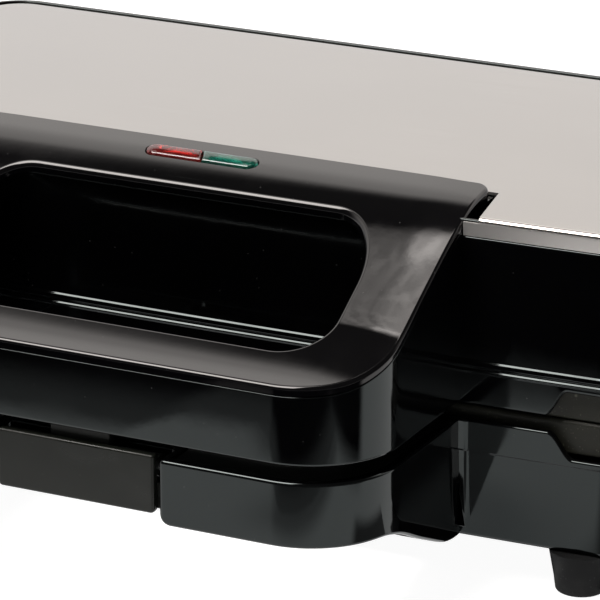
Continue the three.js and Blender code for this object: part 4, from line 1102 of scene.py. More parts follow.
def rear_lip(skin):
    """The thin lip behind the steel cover, which turns round its two rear corners."""
    foot, neck, top = LID_RIM - 4.0, LID_RIM - 0.5, COVER_TOP + 0.25
    inner, outer, crest, root = 0.05, -1.7, -1.9, WALL / 2
    profile = eased((
        (root, foot, 0), (TIGHT, foot, 0), (outer, neck, 1.5), (crest, top, 0.6),
        (inner, top, MILD), (inner, neck, 0), (root, neck, 0),
    ), 3)
    corner_run = 8.0
    rear = np.flatnonzero(body_ring(0.0)[:, 1] > BODY_DEPTH - REAR_CORNER - corner_run)
    made = skin.loft(
        [at_height(body_ring(inset)[rear], height) for inset, height in profile],
        closed=False, around=True,
    )
    skin.cap([row[0] for row in made])
    skin.cap([row[-1] for row in made])


def lid_handle(skin):
    """The tray of the lid's handle, open at the top where the panel closes it."""
    floor = LID_BOTTOM + WALL
    bead_foot = LID_BOTTOM + BEAD_RISE
    bead_head = bead_foot + BEAD_HEIGHT
    foot = [(inset, LID_BOTTOM + drop) for inset, drop, _ in quarter_round(EDGE)[::-1]]

    def seam(ring):
        return panel_height(ring[:, 1]) - PANEL_THICKNESS - GAP

    def rim(outline):
        """Rings over the edge that the panel rests on, and down the wall inside it."""
        rings = []
        ease = FINE_EDGE * 0.3
        for inset, down in ((0.0, FINE_EDGE), (ease, ease), (FINE_EDGE, 0.0), (WALL, 0.0)):
            ring = outline(inset)
            rings.append(at_height(ring, seam(ring) - down))
        return [*rings, at_height(outline(WALL), floor)]

    outer = skin.loft([at_height(handle_ring(i), z) for i, z in foot] + rim(handle_ring))
    wall = finger_ring(0.0)
    fade = np.clip((wall[:, 1] - BEAD_FADE_START) / BEAD_FADE_RUN, 0.0, 1.0)[:, None]
    bead = []
    for out, height in eased((
        (0.0, bead_foot - EDGE, 0), (0.0, bead_foot, FINE_EDGE),
        (-BEAD_PROUD, bead_foot + BEAD_PROUD, FINE_EDGE),
        (-BEAD_PROUD, bead_head - BEAD_PROUD, FINE_EDGE),
        (0.0, bead_head, FINE_EDGE), (0.0, bead_head + EDGE, 0),
    ), 3):
        ring = wall * (1 - fade) + finger_ring(out) * fade
        bead.append(at_height(ring, np.minimum(height, seam(ring) - 2 * FINE_EDGE)))
    finger = skin.loft(
        [at_height(finger_ring(i), z) for i, z in foot] + bead + rim(finger_ring),
    )
    half = NOSE_WIDTH / 2 + RUNNING_GAP
    slot = rounded_rectangle(
        -half, half, HANDLE_FRONT + WALL, FINGER_FRONT - WALL, EDGE, steps=4,
    )
    nose = skin.wall(slot + (LATCH_MIDDLE, 0.0), LID_BOTTOM, floor)
    skin.fill(outer[0], [finger[0], nose[0]])
    skin.fill(outer[-1], [finger[-1], nose[-1]])


def lid_ears(skin):
    """The two ears that the hinge pins run through."""
    inner = BODY_DEPTH - WALL
    outline = np.vstack((
        ((inner, LID_BOTTOM + EDGE),), hinge_eye(2.4 * QUARTER),
        ((HINGE_Y + HINGE_RADIUS * EAR_HEEL, HINGE_Z + HINGE_RADIUS),
         (BODY_DEPTH + WALL, HINGE_Z + EAR_RISE), (inner, HINGE_Z + EAR_RISE)),
    ))
    for _, side in SIDES:
        place = facing_x(side * HINGE_SPACING / 2, 0.0, 0.0)
        add_slab(skin, outline, -EAR_WIDTH / 2, EAR_WIDTH / 2, SOFT, place)


def relief_outlines(front, inner):
    """The dark wedges left open beside the panel, to its right and to its left."""
    rear = PANEL_LAP + RELIEF_REAR
    wedge = np.array((
        (HANDLE_HALF - inner, front), (HANDLE_HALF + RELIEF_FRONT_WIDTH, front),
        (HANDLE_HALF + RELIEF_REAR_WIDTH, rear), (HANDLE_HALF - inner, rear),
    ))
    return wedge, mirrored(wedge)


def make_lid_housing():
    skin = Skin()
    lid_walls(skin)
    rear_lip(skin)
    lid_handle(skin)
    lid_ears(skin)
    thing = piece("lid_shell", skin, "lid", GLOSS, ("lid_housing",))
    for outline in relief_outlines(WALL + 0.2, SOFT):
        carve(thing, block(outline, DECK_TOP - GROOVE_DEPTH, PANEL_TOP))
    cut_openings(thing, "release_upper_right")


def make_panel():
    """The curved gloss panel with its finger window and lamp slot."""
    skin = Skin()

    def bottom(y):
        over_deck = np.where(y > FRONT_BOW / 2, DECK_TOP + 0.1, PANEL_TOP)
        return np.minimum(panel_height(y) - PANEL_THICKNESS, over_deck)

    def rim(outline, sign, edge):
        """Rings up the wall of one outline and over its rounded edge."""
        wall = outline(0.0)
        ahead = np.roll(wall, -1, axis=0) - np.roll(wall, 1, axis=0)
        out = np.column_stack((ahead[:, 1], -ahead[:, 0], np.zeros(len(wall))))
        out *= sign / np.linalg.norm(out, axis=1, keepdims=True)
        made = [skin.ring(at_height(wall, bottom(wall[:, 1])), out)]
        for inset, drop, share in quarter_round(edge, 5):
            ring = outline(inset)
            normals = out * math.sqrt(1 - share**2) + panel_tilt(ring) * share
            normals /= np.linalg.norm(normals, axis=1, keepdims=True)
            made.append(skin.ring(at_height(ring, panel_top(ring) - drop), normals))
        return skin.join(made)

    outer = rim(panel_ring, 1.0, PANEL_EDGE)
    window = rim(window_ring, -1.0, WINDOW_LIP)
    lamp = rim(lens_ring, -1.0, KEEN)
    grid = rows(panel_ring(0.0), 5.0, 1.6)
    skin.fill(outer[-1], [window[-1], lamp[-1]], grid, panel_top, panel_tilt)
    under = rows(panel_ring(0.0), 9.0, 4.0)
    skin.fill(outer[0], [window[0], lamp[0]], under, lambda p: bottom(p[:, 1]))
    piece("panel_over_handle", skin, "lid", PANEL_GLOSS, ("handle_panel",))


def make_cover():
    """The brushed steel cover: a sheet turned down round its edge, cut out beside the panel."""
    bend = 1.5
    lean = 0.4
    edge = FLANGE_FOOT + 0.1
    profile = eased((
        (LID_DRAFT + 4 * bend, COVER_TOP, 0),
        (LID_DRAFT - lean, COVER_TOP, bend),
        (LID_DRAFT + GAP / 2, edge, TIGHT),
        (LID_DRAFT + GAP / 2 + SHEET, edge, TIGHT),
        (LID_DRAFT - lean + SHEET, COVER_TOP - SHEET, bend - SHEET),
        (LID_DRAFT + 4 * bend, COVER_TOP - SHEET, 0),
    ), 6)
    skin = Skin()
    made = skin.stack(body_ring, profile)
    skin.fill(made[0])
    skin.fill(made[-1])
    thing = piece("steel_cover", skin, "lid", STEEL, ("lid_cover",))
    carve(thing, block(panel_ring(-GAP), edge - SHEET, PANEL_TOP))
    for outline in relief_outlines(0.0, OVERRUN):
        carve(thing, block(outline, COVER_TOP - bend, PANEL_TOP))


def make_lens(side, material, name):
    """Half of the lamp window: a crowned top and a ribbed underside that breaks up the light."""
    rib_pitch, rib_height = 1.3, 0.6
    skin = Skin()
    reach = LENS_WIDTH / 2 - GAP
    end = LENS_LENGTH / 2 - GAP - reach
    outline = np.vstack((
        ((GAP / 2, LENS_SETBACK - reach),),
        arc(end, LENS_SETBACK, reach, reach, -QUARTER, 10)[:-1],
        arc(end, LENS_SETBACK, reach, reach, 0.0, 10),
        ((GAP / 2, LENS_SETBACK + reach),),
    ))
    if side < 0:
        outline = mirrored(outline)
    outline[[0, -1], 0] -= LENS_SLANT * (outline[[0, -1], 1] - LENS_SETBACK) / reach
    outline = outline + (LENS_MIDDLE, 0.0)
    base = panel_height(LENS_SETBACK) - LENS_DEPTH

    def top(ring):
        beyond = np.maximum(np.abs(ring[:, 0] - LENS_MIDDLE) - end, 0.0)
        off_axis = (beyond**2 + (ring[:, 1] - LENS_SETBACK)**2) / reach**2
        return panel_height(ring[:, 1]) + LENS_PROUD + LENS_CROWN * (1.0 - off_axis)

    def ribs(spots):
        return base + np.abs((spots[:, 0] / rib_pitch) % 1.0 - 0.5) * 2 * rib_height

    rings = [at_height(outline, base)]
    for inset, drop, _ in quarter_round(SOFT, 4):
        ring = shrink(outline, inset)
        rings.append(at_height(ring, top(ring) - drop))
    made = skin.loft(rings)
    skin.fill(made[-1], (), rows(outline, 1.7, 1.1), top)
    skin.fill(made[0], (), rows(outline, rib_pitch / 2, 2.2), ribs)
    piece(f"lens_{name}", skin, "lid", material, (name,), sharp=25.0)


# Base
def base_block_ring():
    """The base handle's outline, with the recess for the latch in its front."""
    mouth, clear, spacing = 1.4, 0.1, 0.5
    left, right = LATCH_MIDDLE - RECESS_HALF, LATCH_MIDDLE + RECESS_HALF
    back = HANDLE_FRONT + RECESS_DEPTH
    recess = eased((
        (-HANDLE_HALF / 2, HANDLE_FRONT, 0), (left, HANDLE_FRONT, mouth), (left, back, 1.2),
        (right, back, 1.2), (right, HANDLE_FRONT, mouth), (HANDLE_HALF / 2, HANDLE_FRONT, 0),
    ), 5)
    ahead, behind = (
        points(
            LATCH_MIDDLE + side * (RECESS_HALF + mouth + clear + np.arange(1, 9) * spacing),
            HANDLE_FRONT,
        ) for _, side in SIDES
    )
    return np.vstack((
        recess[:1], ahead[::-1], recess[1:-1], behind, recess[-1:], handle_ring(0.0),
    ))


def base_foot_height(ring):
    """The handle's underside, lifted at the lower corners beside the latch."""
    beyond = np.clip(np.abs(ring[:, 0] - LATCH_MIDDLE) - RECESS_HALF, 0.0, RECESS_CORNER)
    turn = RECESS_CORNER - np.sqrt(RECESS_CORNER**2 - (RECESS_CORNER - beyond)**2)
    front = ring[:, 1] < HANDLE_FRONT + RECESS_DEPTH + EDGE
    return underside_height(ring[:, 1]) + np.where(front, turn, 0.0)


def cap_ring(side, inset):
    """The outline of the cap that closes one hollow half of the base handle."""
    outer = WALL + inset
    reach = HANDLE_HALF - outer
    radius = HANDLE_CORNER - outer
    front = HANDLE_FRONT + outer
    inner = FINGER_HALF + outer
    bend = FINGER_CORNER + outer
    rail = FINGER_FRONT - outer
    back = front_line(HANDLE_HALF) - inset - CAP_SUNK
    start = BLOCK_HALF + inset + side * LATCH_MIDDLE
    ring = np.vstack((
        ((start, front),), arc(reach - radius, front + radius, radius, radius, -QUARTER, 16),
        ((reach, back), (inner, back)),
        arc(inner - bend, rail + bend, bend, bend, -QUARTER, 14)[::-1], ((start, rail),),
    ))
    return ring if side > 0 else mirrored(ring)


def base_handle(skin):
    """The base's half of the handle: a block with an S-shaped underside and sunken caps."""
    outline = base_block_ring()
    seated = outline[:, 1] > -WALL
    rounds = [(inset, drop) for inset, drop, _ in quarter_round(EDGE)]

    def drawn_in(inset):
        ring = shrink(outline, inset)
        ring[seated, 1] = outline[seated, 1]
        return ring

    made = skin.loft(
        [at_height(drawn_in(i), base_foot_height(outline) + drop) for i, drop in rounds[::-1]]
        + [at_height(drawn_in(i), BASE_TOP - drop) for i, drop in rounds],
    )
    hole = skin.loft(
        [at_height(finger_ring(i), underside_height(finger_ring(i)[:, 1]) + drop)
         for i, drop in rounds[::-1]]
        + [at_height(finger_ring(i), BASE_TOP - drop) for i, drop in rounds],
    )
    pockets = []
    for _, side in SIDES:
        walls = skin.wall(cap_ring(side, 0.0), BASE_TOP, BASE_TOP - CAP_SEAT)
        skin.fill(walls[1])
        pockets.append(walls[0])
    skin.fill(made[-1], [hole[-1], *pockets])
    skin.fill(made[0], [hole[0]], rows(handle_ring(0.0), 9.0, 2.0), base_foot_height)


def cover_ring(inset):
    return rounded_rectangle(
        inset - COVER_HALF, COVER_HALF - inset, COVER_FRONT + inset, COVER_BACK - inset,
        FRONT_CORNER - inset, steps=10,
    )


def base_walls(skin):
    """The base's walls with their crease, and its floor with the seat of the bottom cover."""
    floor = BASE_BOTTOM + 2 * WALL
    seam, inner_seam = BASE_DRAFT + 8.0, BASE_DRAFT + WALL + 6.0
    profile = eased((
        (seam, BASE_BOTTOM, 0),
        (BASE_DRAFT, BASE_BOTTOM, 1.6),
        (CREASE_STEP, CREASE, KEEN),
        (0, CREASE + CREASE_STEP, KEEN),
        (0, BASE_TOP, 0.6),
        (WALL, BASE_TOP, ROUND),
        (WALL, CREASE, 0),
        (BASE_DRAFT + WALL, floor, 2.0),
        (inner_seam, floor, 0),
    ))
    made = skin.loft(stepped_rings(
        profile, BASE_TOP, -BASE_NOTCH_DROP, BASE_NOTCH_START, BASE_NOTCH_RUN,
    ))
    seat = skin.wall(cover_ring(0.0), BASE_BOTTOM, BASE_BOTTOM + WALL)
    skin.fill(made[0], [seat[0]])
    skin.fill(seat[1])
    skin.fill(made[-1])


def base_towers(skin):
    """The paired cheeks that hold the hinge pins, and the shelf that stops the ear."""
    drop = HINGE_RADIUS * (EAR_HEEL * math.sin(LID_SWING) - math.cos(LID_SWING))
    shelf = HINGE_Z - drop - RUNNING_GAP
    inner = BODY_DEPTH - WALL
    cheek = np.vstack((
        ((inner, HINGE_Z - TOWER_DROP), (BODY_DEPTH, HINGE_Z - TOWER_DROP),
         (HINGE_Y + HINGE_RADIUS, HINGE_Z - TOWER_KNEE)),
        hinge_eye(0.0), ((inner, BASE_TOP - EDGE - HINGE_RADIUS),),
    ))
    sunk = 1.0
    ledge = rectangle(inner, HINGE_Y + HINGE_RADIUS - sunk, shelf - WALL, shelf)
    gap_half = EAR_WIDTH / 2 + RUNNING_GAP
    for _, side in SIDES:
        place = facing_x(side * HINGE_SPACING / 2, 0.0, 0.0)
        for low in (-gap_half - CHEEK_WIDTH, gap_half):
            add_slab(skin, cheek, low, low + CHEEK_WIDTH, SOFT, place)
        add_slab(skin, ledge, -gap_half - sunk, gap_half + sunk, CRISP, place)


def make_base_housing():
    skin = Skin()
    base_walls(skin)
    base_handle(skin)
    base_towers(skin)
    thing = piece("base_shell", skin, "base", GLOSS, ("base_housing",))
    cut_openings(thing, "release_lower_right")


def make_caps():
    for word, side in SIDES:
        skin = Skin()
        add_slab(skin, cap_ring(side, GAP), BASE_TOP - CAP_FOOT, BASE_TOP - CAP_SUNK, MILD)
        piece(f"cap_{word}", skin, "base", SATIN, (f"base_handle_cap_{word}",))


def make_bottom_cover():
    """The bottom cover with two rows of rounded air slots."""
    count = 9
    half_width, half_length, row_shift = 1.5, 13.0, 15.5
    margin = 5.0 + SCREW_HEAD
    pitch = (2 * COVER_HALF - 4 * margin) / count
    middle = (COVER_FRONT + COVER_BACK) / 2
    holes = []
    for i in range(count):
        x = (i - (count - 1) / 2) * pitch
        for _, side in SIDES:
            y = middle + side * row_shift
            holes.append(rounded_rectangle(
                x - half_width, x + half_width, y - half_length, y + half_length,
                half_width - TOL, steps=5,
            ))
    skin = Skin()
    add_slab(skin, cover_ring(GAP), BASE_BOTTOM, BASE_BOTTOM + WALL - GAP, SOFT, holes=holes)
    piece("vented_bottom_cover", skin, "base", SATIN, ("base_bottom_cover",))


def cross_ring(arm, half):
    """The outline of a cross-shaped driver recess."""
    corner = np.array(((half, -arm), (half, arm), (arm, arm)))
    ring = []
    for turn in range(4):
        c, s = math.cos(turn * QUARTER), math.sin(turn * QUARTER)
        ring.append(corner @ np.array(((c, s), (-s, c))))
    return np.vstack(ring)


def make_screws():
    """Pan-head screws with a cross recess, in place of every screw node of the machine."""
    head, shank, tip, rise, length = SCREW_HEAD, 1.2, 1.2, 1.8, 9.0
    dome, crown = 1.2, 1.9
    profile = eased((
        (0, -length, 0), (shank * 0.4, -length, 0), (shank, -length + tip, TIGHT), (shank, 0, 0),
        (head, 0, 0.1), (head, rise * 0.4, MILD), (head * 0.55, rise, dome), (crown, rise, 0),
    ), 3)
    cross_arm, cross_reach, cross_depth, cross_taper = 0.35, 1.25, 1.1, 0.7
    cross = cross_ring(cross_arm, cross_reach)
    for name in sorted(n for n in frame["nodes"] if "screw" in n):
        low, high = box_of(name)
        x, y, _ = middle_of(name)
        headed_down = "bottom" in name or "upper" in name
        sign = -1.0 if headed_down else 1.0
        seat = low[2] + rise if headed_down else high[2] - rise
        skin = Skin()
        made = skin.join([
            skin.ring(at_height(circle(32) * radius, height)) for radius, height in profile[1:-2]
        ])
        skin.cap(made[0])
        recess = skin.loft([
            at_height(cross, skin.spots[made[-1][0]][2]),
            at_height(cross * cross_taper, rise - cross_depth),
        ])
        skin.fill(recess[1])
        skin.fill(made[-1], [recess[0]])
        skin.shift(lambda p: p * (1.0, sign, sign) + (x, y, seat))
        body = frame["nodes"][name]["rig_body"]
        piece(f"{name}_head", skin, body, PLATED, (name,))


def make_feet():
    """Tapered feet with a rounded sole and a shallow hollow moulded in it."""
    seat = BASE_BOTTOM - 0.05
    hollow, brim, sole, waist, rim, stud = 3.4, 4.2, 6.9, 7.4, 8.9, 2.2
    hollow_depth, waist_height = 0.7, 4.0
    for name in ("front_left", "front_right", "rear_left", "rear_right"):
        x, y, _ = middle_of(f"foot_{name}")
        top = box_of(f"foot_{name}")[1][2]
        profile = eased((
            (0, hollow_depth, 0), (hollow, hollow_depth, CRISP), (brim, 0.0, CRISP),
            (sole, 0.0, ROUND), (waist, waist_height, 8.0), (rim, seat, TIGHT),
            (stud, seat, 0), (stud, top, CRISP), (0, top, 0),
        ), 4)
        skin = Skin()
        add_turned(skin, profile, 48, lambda p: p + (x, y, 0.0))
        piece(f"rubber_foot_{name}", skin, "base", RUBBER, (f"foot_{name}",))


def make_gland():
    """The ribbed cord gland in the rear wall, with its bore."""
    low, high = box_of("cord_gland")
    z = middle_of("cord_gland")[2]
    start, reach = low[1] - FRONT_SHIFT, high[1] - FRONT_SHIFT
    flange = BODY_DEPTH + GAP
    rim_depth, ribs = 2.4, 4
    collar = flange + rim_depth
    bore, groove, neck, crest, root, rim = 3.3, 4.3, 5.0, 5.1, 5.2, 8.0
    corners = [(bore, start, 0), (neck, start, CRISP), (neck, flange, 0), (rim, flange, CRISP),
               (rim, collar, SHEET), (root, collar, MILD)]
    step = (reach - flange - rim_depth) / ribs
    for k in range(ribs):
        foot = collar + k * step
        corners += [(groove, foot + step * 0.25, TIGHT), (groove, foot + step * 0.5, TIGHT),
                    (crest, foot + step * 0.6, CRISP), (neck, foot + step * 0.98, CRISP)]
    corners.append((bore, reach, CRISP))
    skin = Skin()
    made = []
    for radius, depth in eased(corners, 3):
        x, up = (radius * circle(48)).T
        made.append(skin.ring(np.column_stack((x, np.full(48, depth), z + up))))
    skin.join(made, around=True)
    piece("ribbed_gland", skin, "base", RUBBER, ("cord_gland",))


def make_pins():
    """Hinge pins with a domed head and a chamfered tip."""
    half = EAR_WIDTH / 2 + RUNNING_GAP + CHEEK_WIDTH
    head = half + GAP
    radius = PIN_RADIUS + SHEET
    profile = eased((
        (0, -half, 0), (PIN_RADIUS - SOFT, -half, 0.1), (PIN_RADIUS, -half + SOFT, 0.1),
        (PIN_RADIUS, head, 0), (radius, head, 0.1), (radius, head + SHEET * 0.6, TIGHT),
        (0.8, head + SHEET, 0.6), (0, head + SHEET, 0),
    ), 4)
    for word, side in SIDES:
        skin = Skin()
        place = facing_x(side * HINGE_SPACING / 2, HINGE_Y, HINGE_Z)
        add_turned(skin, profile * (1, side), 32, place)
        piece(f"turned_pin_{word}", skin, "base", PLATED, (f"hinge_pin_{word}",))


def make_latch():
    """The latch lever: a flush plate with rounded edges, its pivot barrel, ribs, webs and nose."""
    low, high = box_of("latch")
    bottom, top = low[2], high[2]
    front, half = HANDLE_FRONT, LATCH_WIDTH / 2
    back = front + LATCH_THICKNESS
    plate_top = LID_BOTTOM - LATCH_TOP_DROP
    pivot_y, pivot_z, pivot_radius, pivot_end = front + 4.5, BASE_TOP - 3.3, 3.0, 2.9
    web, web_drop, rib_half, sunk = 0.8, 4.2, 1.0, 0.4
    skin = Skin()
    outline = rounded_rectangle(-half, half, bottom, plate_top, 1.2, 0.9, steps=5)
    add_slab(skin, outline, 0.0, LATCH_THICKNESS, 0.7, facing_front(0.0, front, 0.0))
    barrel = (
        (0, -half), (pivot_end, -half), (pivot_radius, TIGHT - half),
        (pivot_radius, half - TIGHT), (pivot_end, half), (0, half),
    )
    add_turned(skin, barrel, 32, facing_x(0.0, pivot_y, pivot_z))
    nose_front = back + RUNNING_GAP
    nose_back = nose_front + NOSE_THICKNESS
    root = front + 1.0
    shoulder = plate_top - 1.3
    nose = side_outline((
        (root, plate_top - 5.0, SOFT), (nose_back, pivot_z, 0.6), (nose_back, top, 0.8),
        (nose_front, top, 0.8), (nose_front, shoulder, 0.6), (root, shoulder, SOFT),
    ))
    add_slab(skin, nose, -NOSE_WIDTH / 2, NOSE_WIDTH / 2, MILD, facing_x(0.0, 0.0, 0.0))
    for _, side in SIDES:
        edges = sorted((side * (half - web), side * (half + LATCH_GAP - FINE_EDGE)))
        add_box(skin, *edges, back - sunk, back + web, bottom + 1.0, pivot_z - web_drop)
    rib_root = back - 0.6
    rib = np.array((
        (rib_root, bottom + LATCH_THICKNESS), (pivot_y + rib_half, pivot_z - rib_half),
        (rib_root, pivot_z),
    ))
    for place in (-1, 0, 1):
        spot = facing_x(place * LATCH_WIDTH / 3, 0.0, 0.0)
        add_slab(skin, rib, -rib_half, rib_half, TIGHT, spot)
    skin.shift(lambda p: p + (LATCH_MIDDLE, 0.0, 0.0))
    piece("latch_lever", skin, "latch", SATIN, ("latch",))


def make_slides():
    """Release slides: a tongue through the wall and a ridged thumb pad outside it."""
    foot, reach, rise, corner, pad_edge = HALF_WIDTH + 0.8, 12.0, 5.0, 2.0, 0.7
    pad = rounded_rectangle(-reach, reach, -rise, rise, corner, steps=6)
    pitch, ridge_half, ridge_reach, ridge_corner = 3.6, 0.7, 3.4, 0.6
    ridge_proud, ridge_depth, lap = 0.8, 1.4, 1.0
    tongue = rounded_rectangle(
        -TONGUE_WIDTH / 2, TONGUE_WIDTH / 2, -TONGUE_THICKNESS / 2, TONGUE_THICKNESS / 2, CRISP,
        steps=3,
    )
    for level in ("lower", "upper"):
        for word, side in SIDES:
            name = f"release_{level}_{word}"
            low, high = box_of(name)
            _, y, z = middle_of(name)
            inner, outer = sorted((side * low[0], side * high[0]))
            place = facing_x(0.0, y, z, side)
            skin = Skin()
            add_slab(skin, pad, foot, outer - ridge_proud, pad_edge, place)
            for x in pitch * np.arange(-2, 3):
                ridge = rounded_rectangle(
                    x - ridge_half, x + ridge_half, -ridge_reach, ridge_reach, ridge_corner,
                    steps=4,
                )
                add_slab(skin, ridge, outer - ridge_depth, outer, MILD, place)
            add_slab(skin, tongue, inner, foot + lap, KEEN, place)
            piece(f"slide_{level}_{word}", skin, name, SATIN, (name,))


# Cast plates
def rounded_triangle(corners, inset, radius, steps=8):
    corners = np.array(corners, float)
    middle = []
    for k in range(3):
        here, before, after = corners[k], corners[k - 1], corners[(k + 1) % 3]
        incoming = (here - before) / np.linalg.norm(here - before)
        outgoing = (after - here) / np.linalg.norm(after - here)
        sine = incoming[0] * outgoing[1] - incoming[1] * outgoing[0]
        middle.append(here + (outgoing - incoming) * (inset + radius) / sine)
    ring = []
    for k in range(3):
        here, before, after = middle[k], middle[k - 1], middle[(k + 1) % 3]
        first = math.atan2(here[1] - before[1], here[0] - before[0]) - QUARTER
        last = math.atan2(after[1] - here[1], after[0] - here[0]) - QUARTER
        while last < first:
            last += 4 * QUARTER
        for i in range(steps + 1):
            angle = first + (last - first) * i / steps
            ring.append(here + radius * np.array((math.cos(angle), math.sin(angle))))
    return np.array(ring)


def pocket_corners():
    """The four triangles that each pair of slices is cut into."""
    left, right = POCKET_RIDGE, HALF_WIDTH - POCKET_SIDE
    front, back = POCKET_END, BODY_DEPTH - POCKET_END
    slope = math.hypot(right - left, back - front)
    shift_x = POCKET_RIDGE * slope / (back - front)
    shift_y = POCKET_RIDGE * slope / (right - left)
    found = []
    for triangle in (
        ((left + shift_x, front), (right, front), (right, back - shift_y)),
        ((right - shift_x, back), (left, back), (left, front + shift_y)),
    ):
        found += [np.array(triangle), mirrored(np.array(triangle))]
    return found


def pocket(skin, corners, levels, radius, steps):
    """Draws a rounded triangle down a pocket's wall, closes its floor and gives its mouth."""
    rings = []
    for inward, depth in eased(levels, steps):
        corner = max(radius - inward * POCKET_TAPER, POCKET_CORNER)
        rings.append(at_height(rounded_triangle(corners, inward, corner), depth))
    made = skin.loft(rings)
    skin.fill(made[-1])
    return made[0]


def make_plate(name, node_name, body, face, sign, rim_depth):
    """A cast plate: face, pockets with rounded walls, and a rim. sign is the way its back lies."""
    inset = WALL + PLATE_GAP
    skirt, groove, groove_end, groove_depth = inset + 3.0, inset + 2.4, inset + 5.2, 0.7
    groove_floor, face_seam, back_seam = inset + 4.6, inset + 7.0, inset + 6.2
    profile = eased((
        (face_seam, 0.0, 0), (groove_end, 0.0, SOFT), (groove_floor, groove_depth, MILD),
        (skirt, groove_depth, MILD), (groove, 0.0, SOFT), (inset, 0.0, 1.2),
        (inset, rim_depth, 0.6), (skirt, rim_depth, 0.6), (skirt, PLATE_THICKNESS, 1.5),
        (back_seam, PLATE_THICKNESS, 0),
    ), 5)
    skin = Skin()
    made = skin.stack(body_ring, profile)
    wells, backs = [], []
    for corners in pocket_corners():
        wells.append(pocket(skin, corners, POCKET_FACE, FACE_CORNER, 6))
        backs.append(pocket(skin, corners, POCKET_BACK, BACK_CORNER, 5))
    skin.fill(made[0], wells)
    skin.fill(made[-1], backs)
    skin.shift(lambda p: p * (1.0, 1.0, sign) + (0.0, 0.0, face))
    piece(name, skin, body, COATING, (node_name,))


def make_elements():
    """Round heater tubes: an open loop with rounded bends and two terminals at the back."""
    radius, bend, terminal, side_margin, margin, tail = 3.2, 12.0, 22.0, 48.0, 32.0, 17.0
    side, front, back = HALF_WIDTH - side_margin, margin, BODY_DEPTH - margin
    end = back + tail
    line = eased((
        (-terminal, end, 0), (-terminal, back, bend), (-side, back, bend), (-side, front, bend),
        (side, front, bend), (side, back, bend), (terminal, back, bend), (terminal, end, 0),
    ), 10)
    ahead = np.gradient(line, axis=0)
    ahead /= np.linalg.norm(ahead, axis=1, keepdims=True)
    across = np.column_stack((-ahead[:, 1], ahead[:, 0]))
    flat, rise = (radius * circle(20)).T
    for level, body in (("lower", "base"), ("upper", "lid")):
        z = middle_of(f"{level}_element")[2]
        skin = Skin()
        made = skin.join([
            skin.ring(np.column_stack((spot + way * flat[:, None], z + rise)))
            for spot, way in zip(line, across)
        ])
        skin.cap(made[0])
        skin.cap(made[-1])
        piece(f"{level}_heater_tube", skin, body, PLATED, (f"{level}_element",))


def dress_cad_nodes():
    """Finishes for the inner CAD nodes, whose shapes stay as they are."""
    for material, names in (
        (SHEET_METAL, ("lower_reflector", "upper_reflector")),
        (NYLON, ("lower_thermostat", "upper_thermostat", "terminal_block", "lamp_holder")),
        (LAMP_GLASS, ("neon_lamp_red", "neon_lamp_green")),
        (PLATED, ("latch_pin",)),
    ):
        for name in names:
            materials = frame["nodes"][name].data.materials
            materials.clear()
            materials.append(material)


make_lid_housing()
make_panel()
make_cover()
make_lens(-1, RED_LENS, "lens_red")
make_lens(1, GREEN_LENS, "lens_green")
make_base_housing()
make_caps()
make_bottom_cover()
make_screws()
make_feet()
make_gland()
make_pins()
make_latch()
make_slides()
make_plate("lower_cast_plate", "lower_plate", "base", LOWER_FACE, -1.0, LOWER_RIM)
make_plate("upper_cast_plate", "upper_plate", "lid", UPPER_FACE, 1.0, UPPER_RIM)
make_elements()
dress_cad_nodes()


# Stage, light and camera, in metres
def flat_sheet(name, left, right, front, back, height, material):
    corners = ((left, front), (right, front), (right, back), (left, back))
    mesh = bpy.data.meshes.new(name)
    mesh.from_pydata([(x, y, height) for x, y in corners], [], [(0, 1, 2, 3)])
    mesh.materials.append(material)
    sheet = bpy.data.objects.new(name, mesh)
    bpy.context.scene.collection.objects.link(sheet)
    return sheet


def make_floor():
    """A pale sheet that glows a little, as on a light table."""
    reach = 8.0
    finish = Finish(
        "pale floor", Specular_IOR_Level=0.1, Emission_Color=(1.0, 1.0, 1.0, 1.0),
        Emission_Strength=0.95,
    )
    patches = finish.effect(PATCHES, Scale=1.2)["Value"]
    finish.set(
        Base_Color=finish.mix(patches, (0.34, 0.34, 0.34), (0.37, 0.37, 0.37)),
        Roughness=finish.span(patches, 0.75, 0.85),
    )
    flat_sheet("floor", -reach, reach, -reach, reach, 0.0, finish.material)


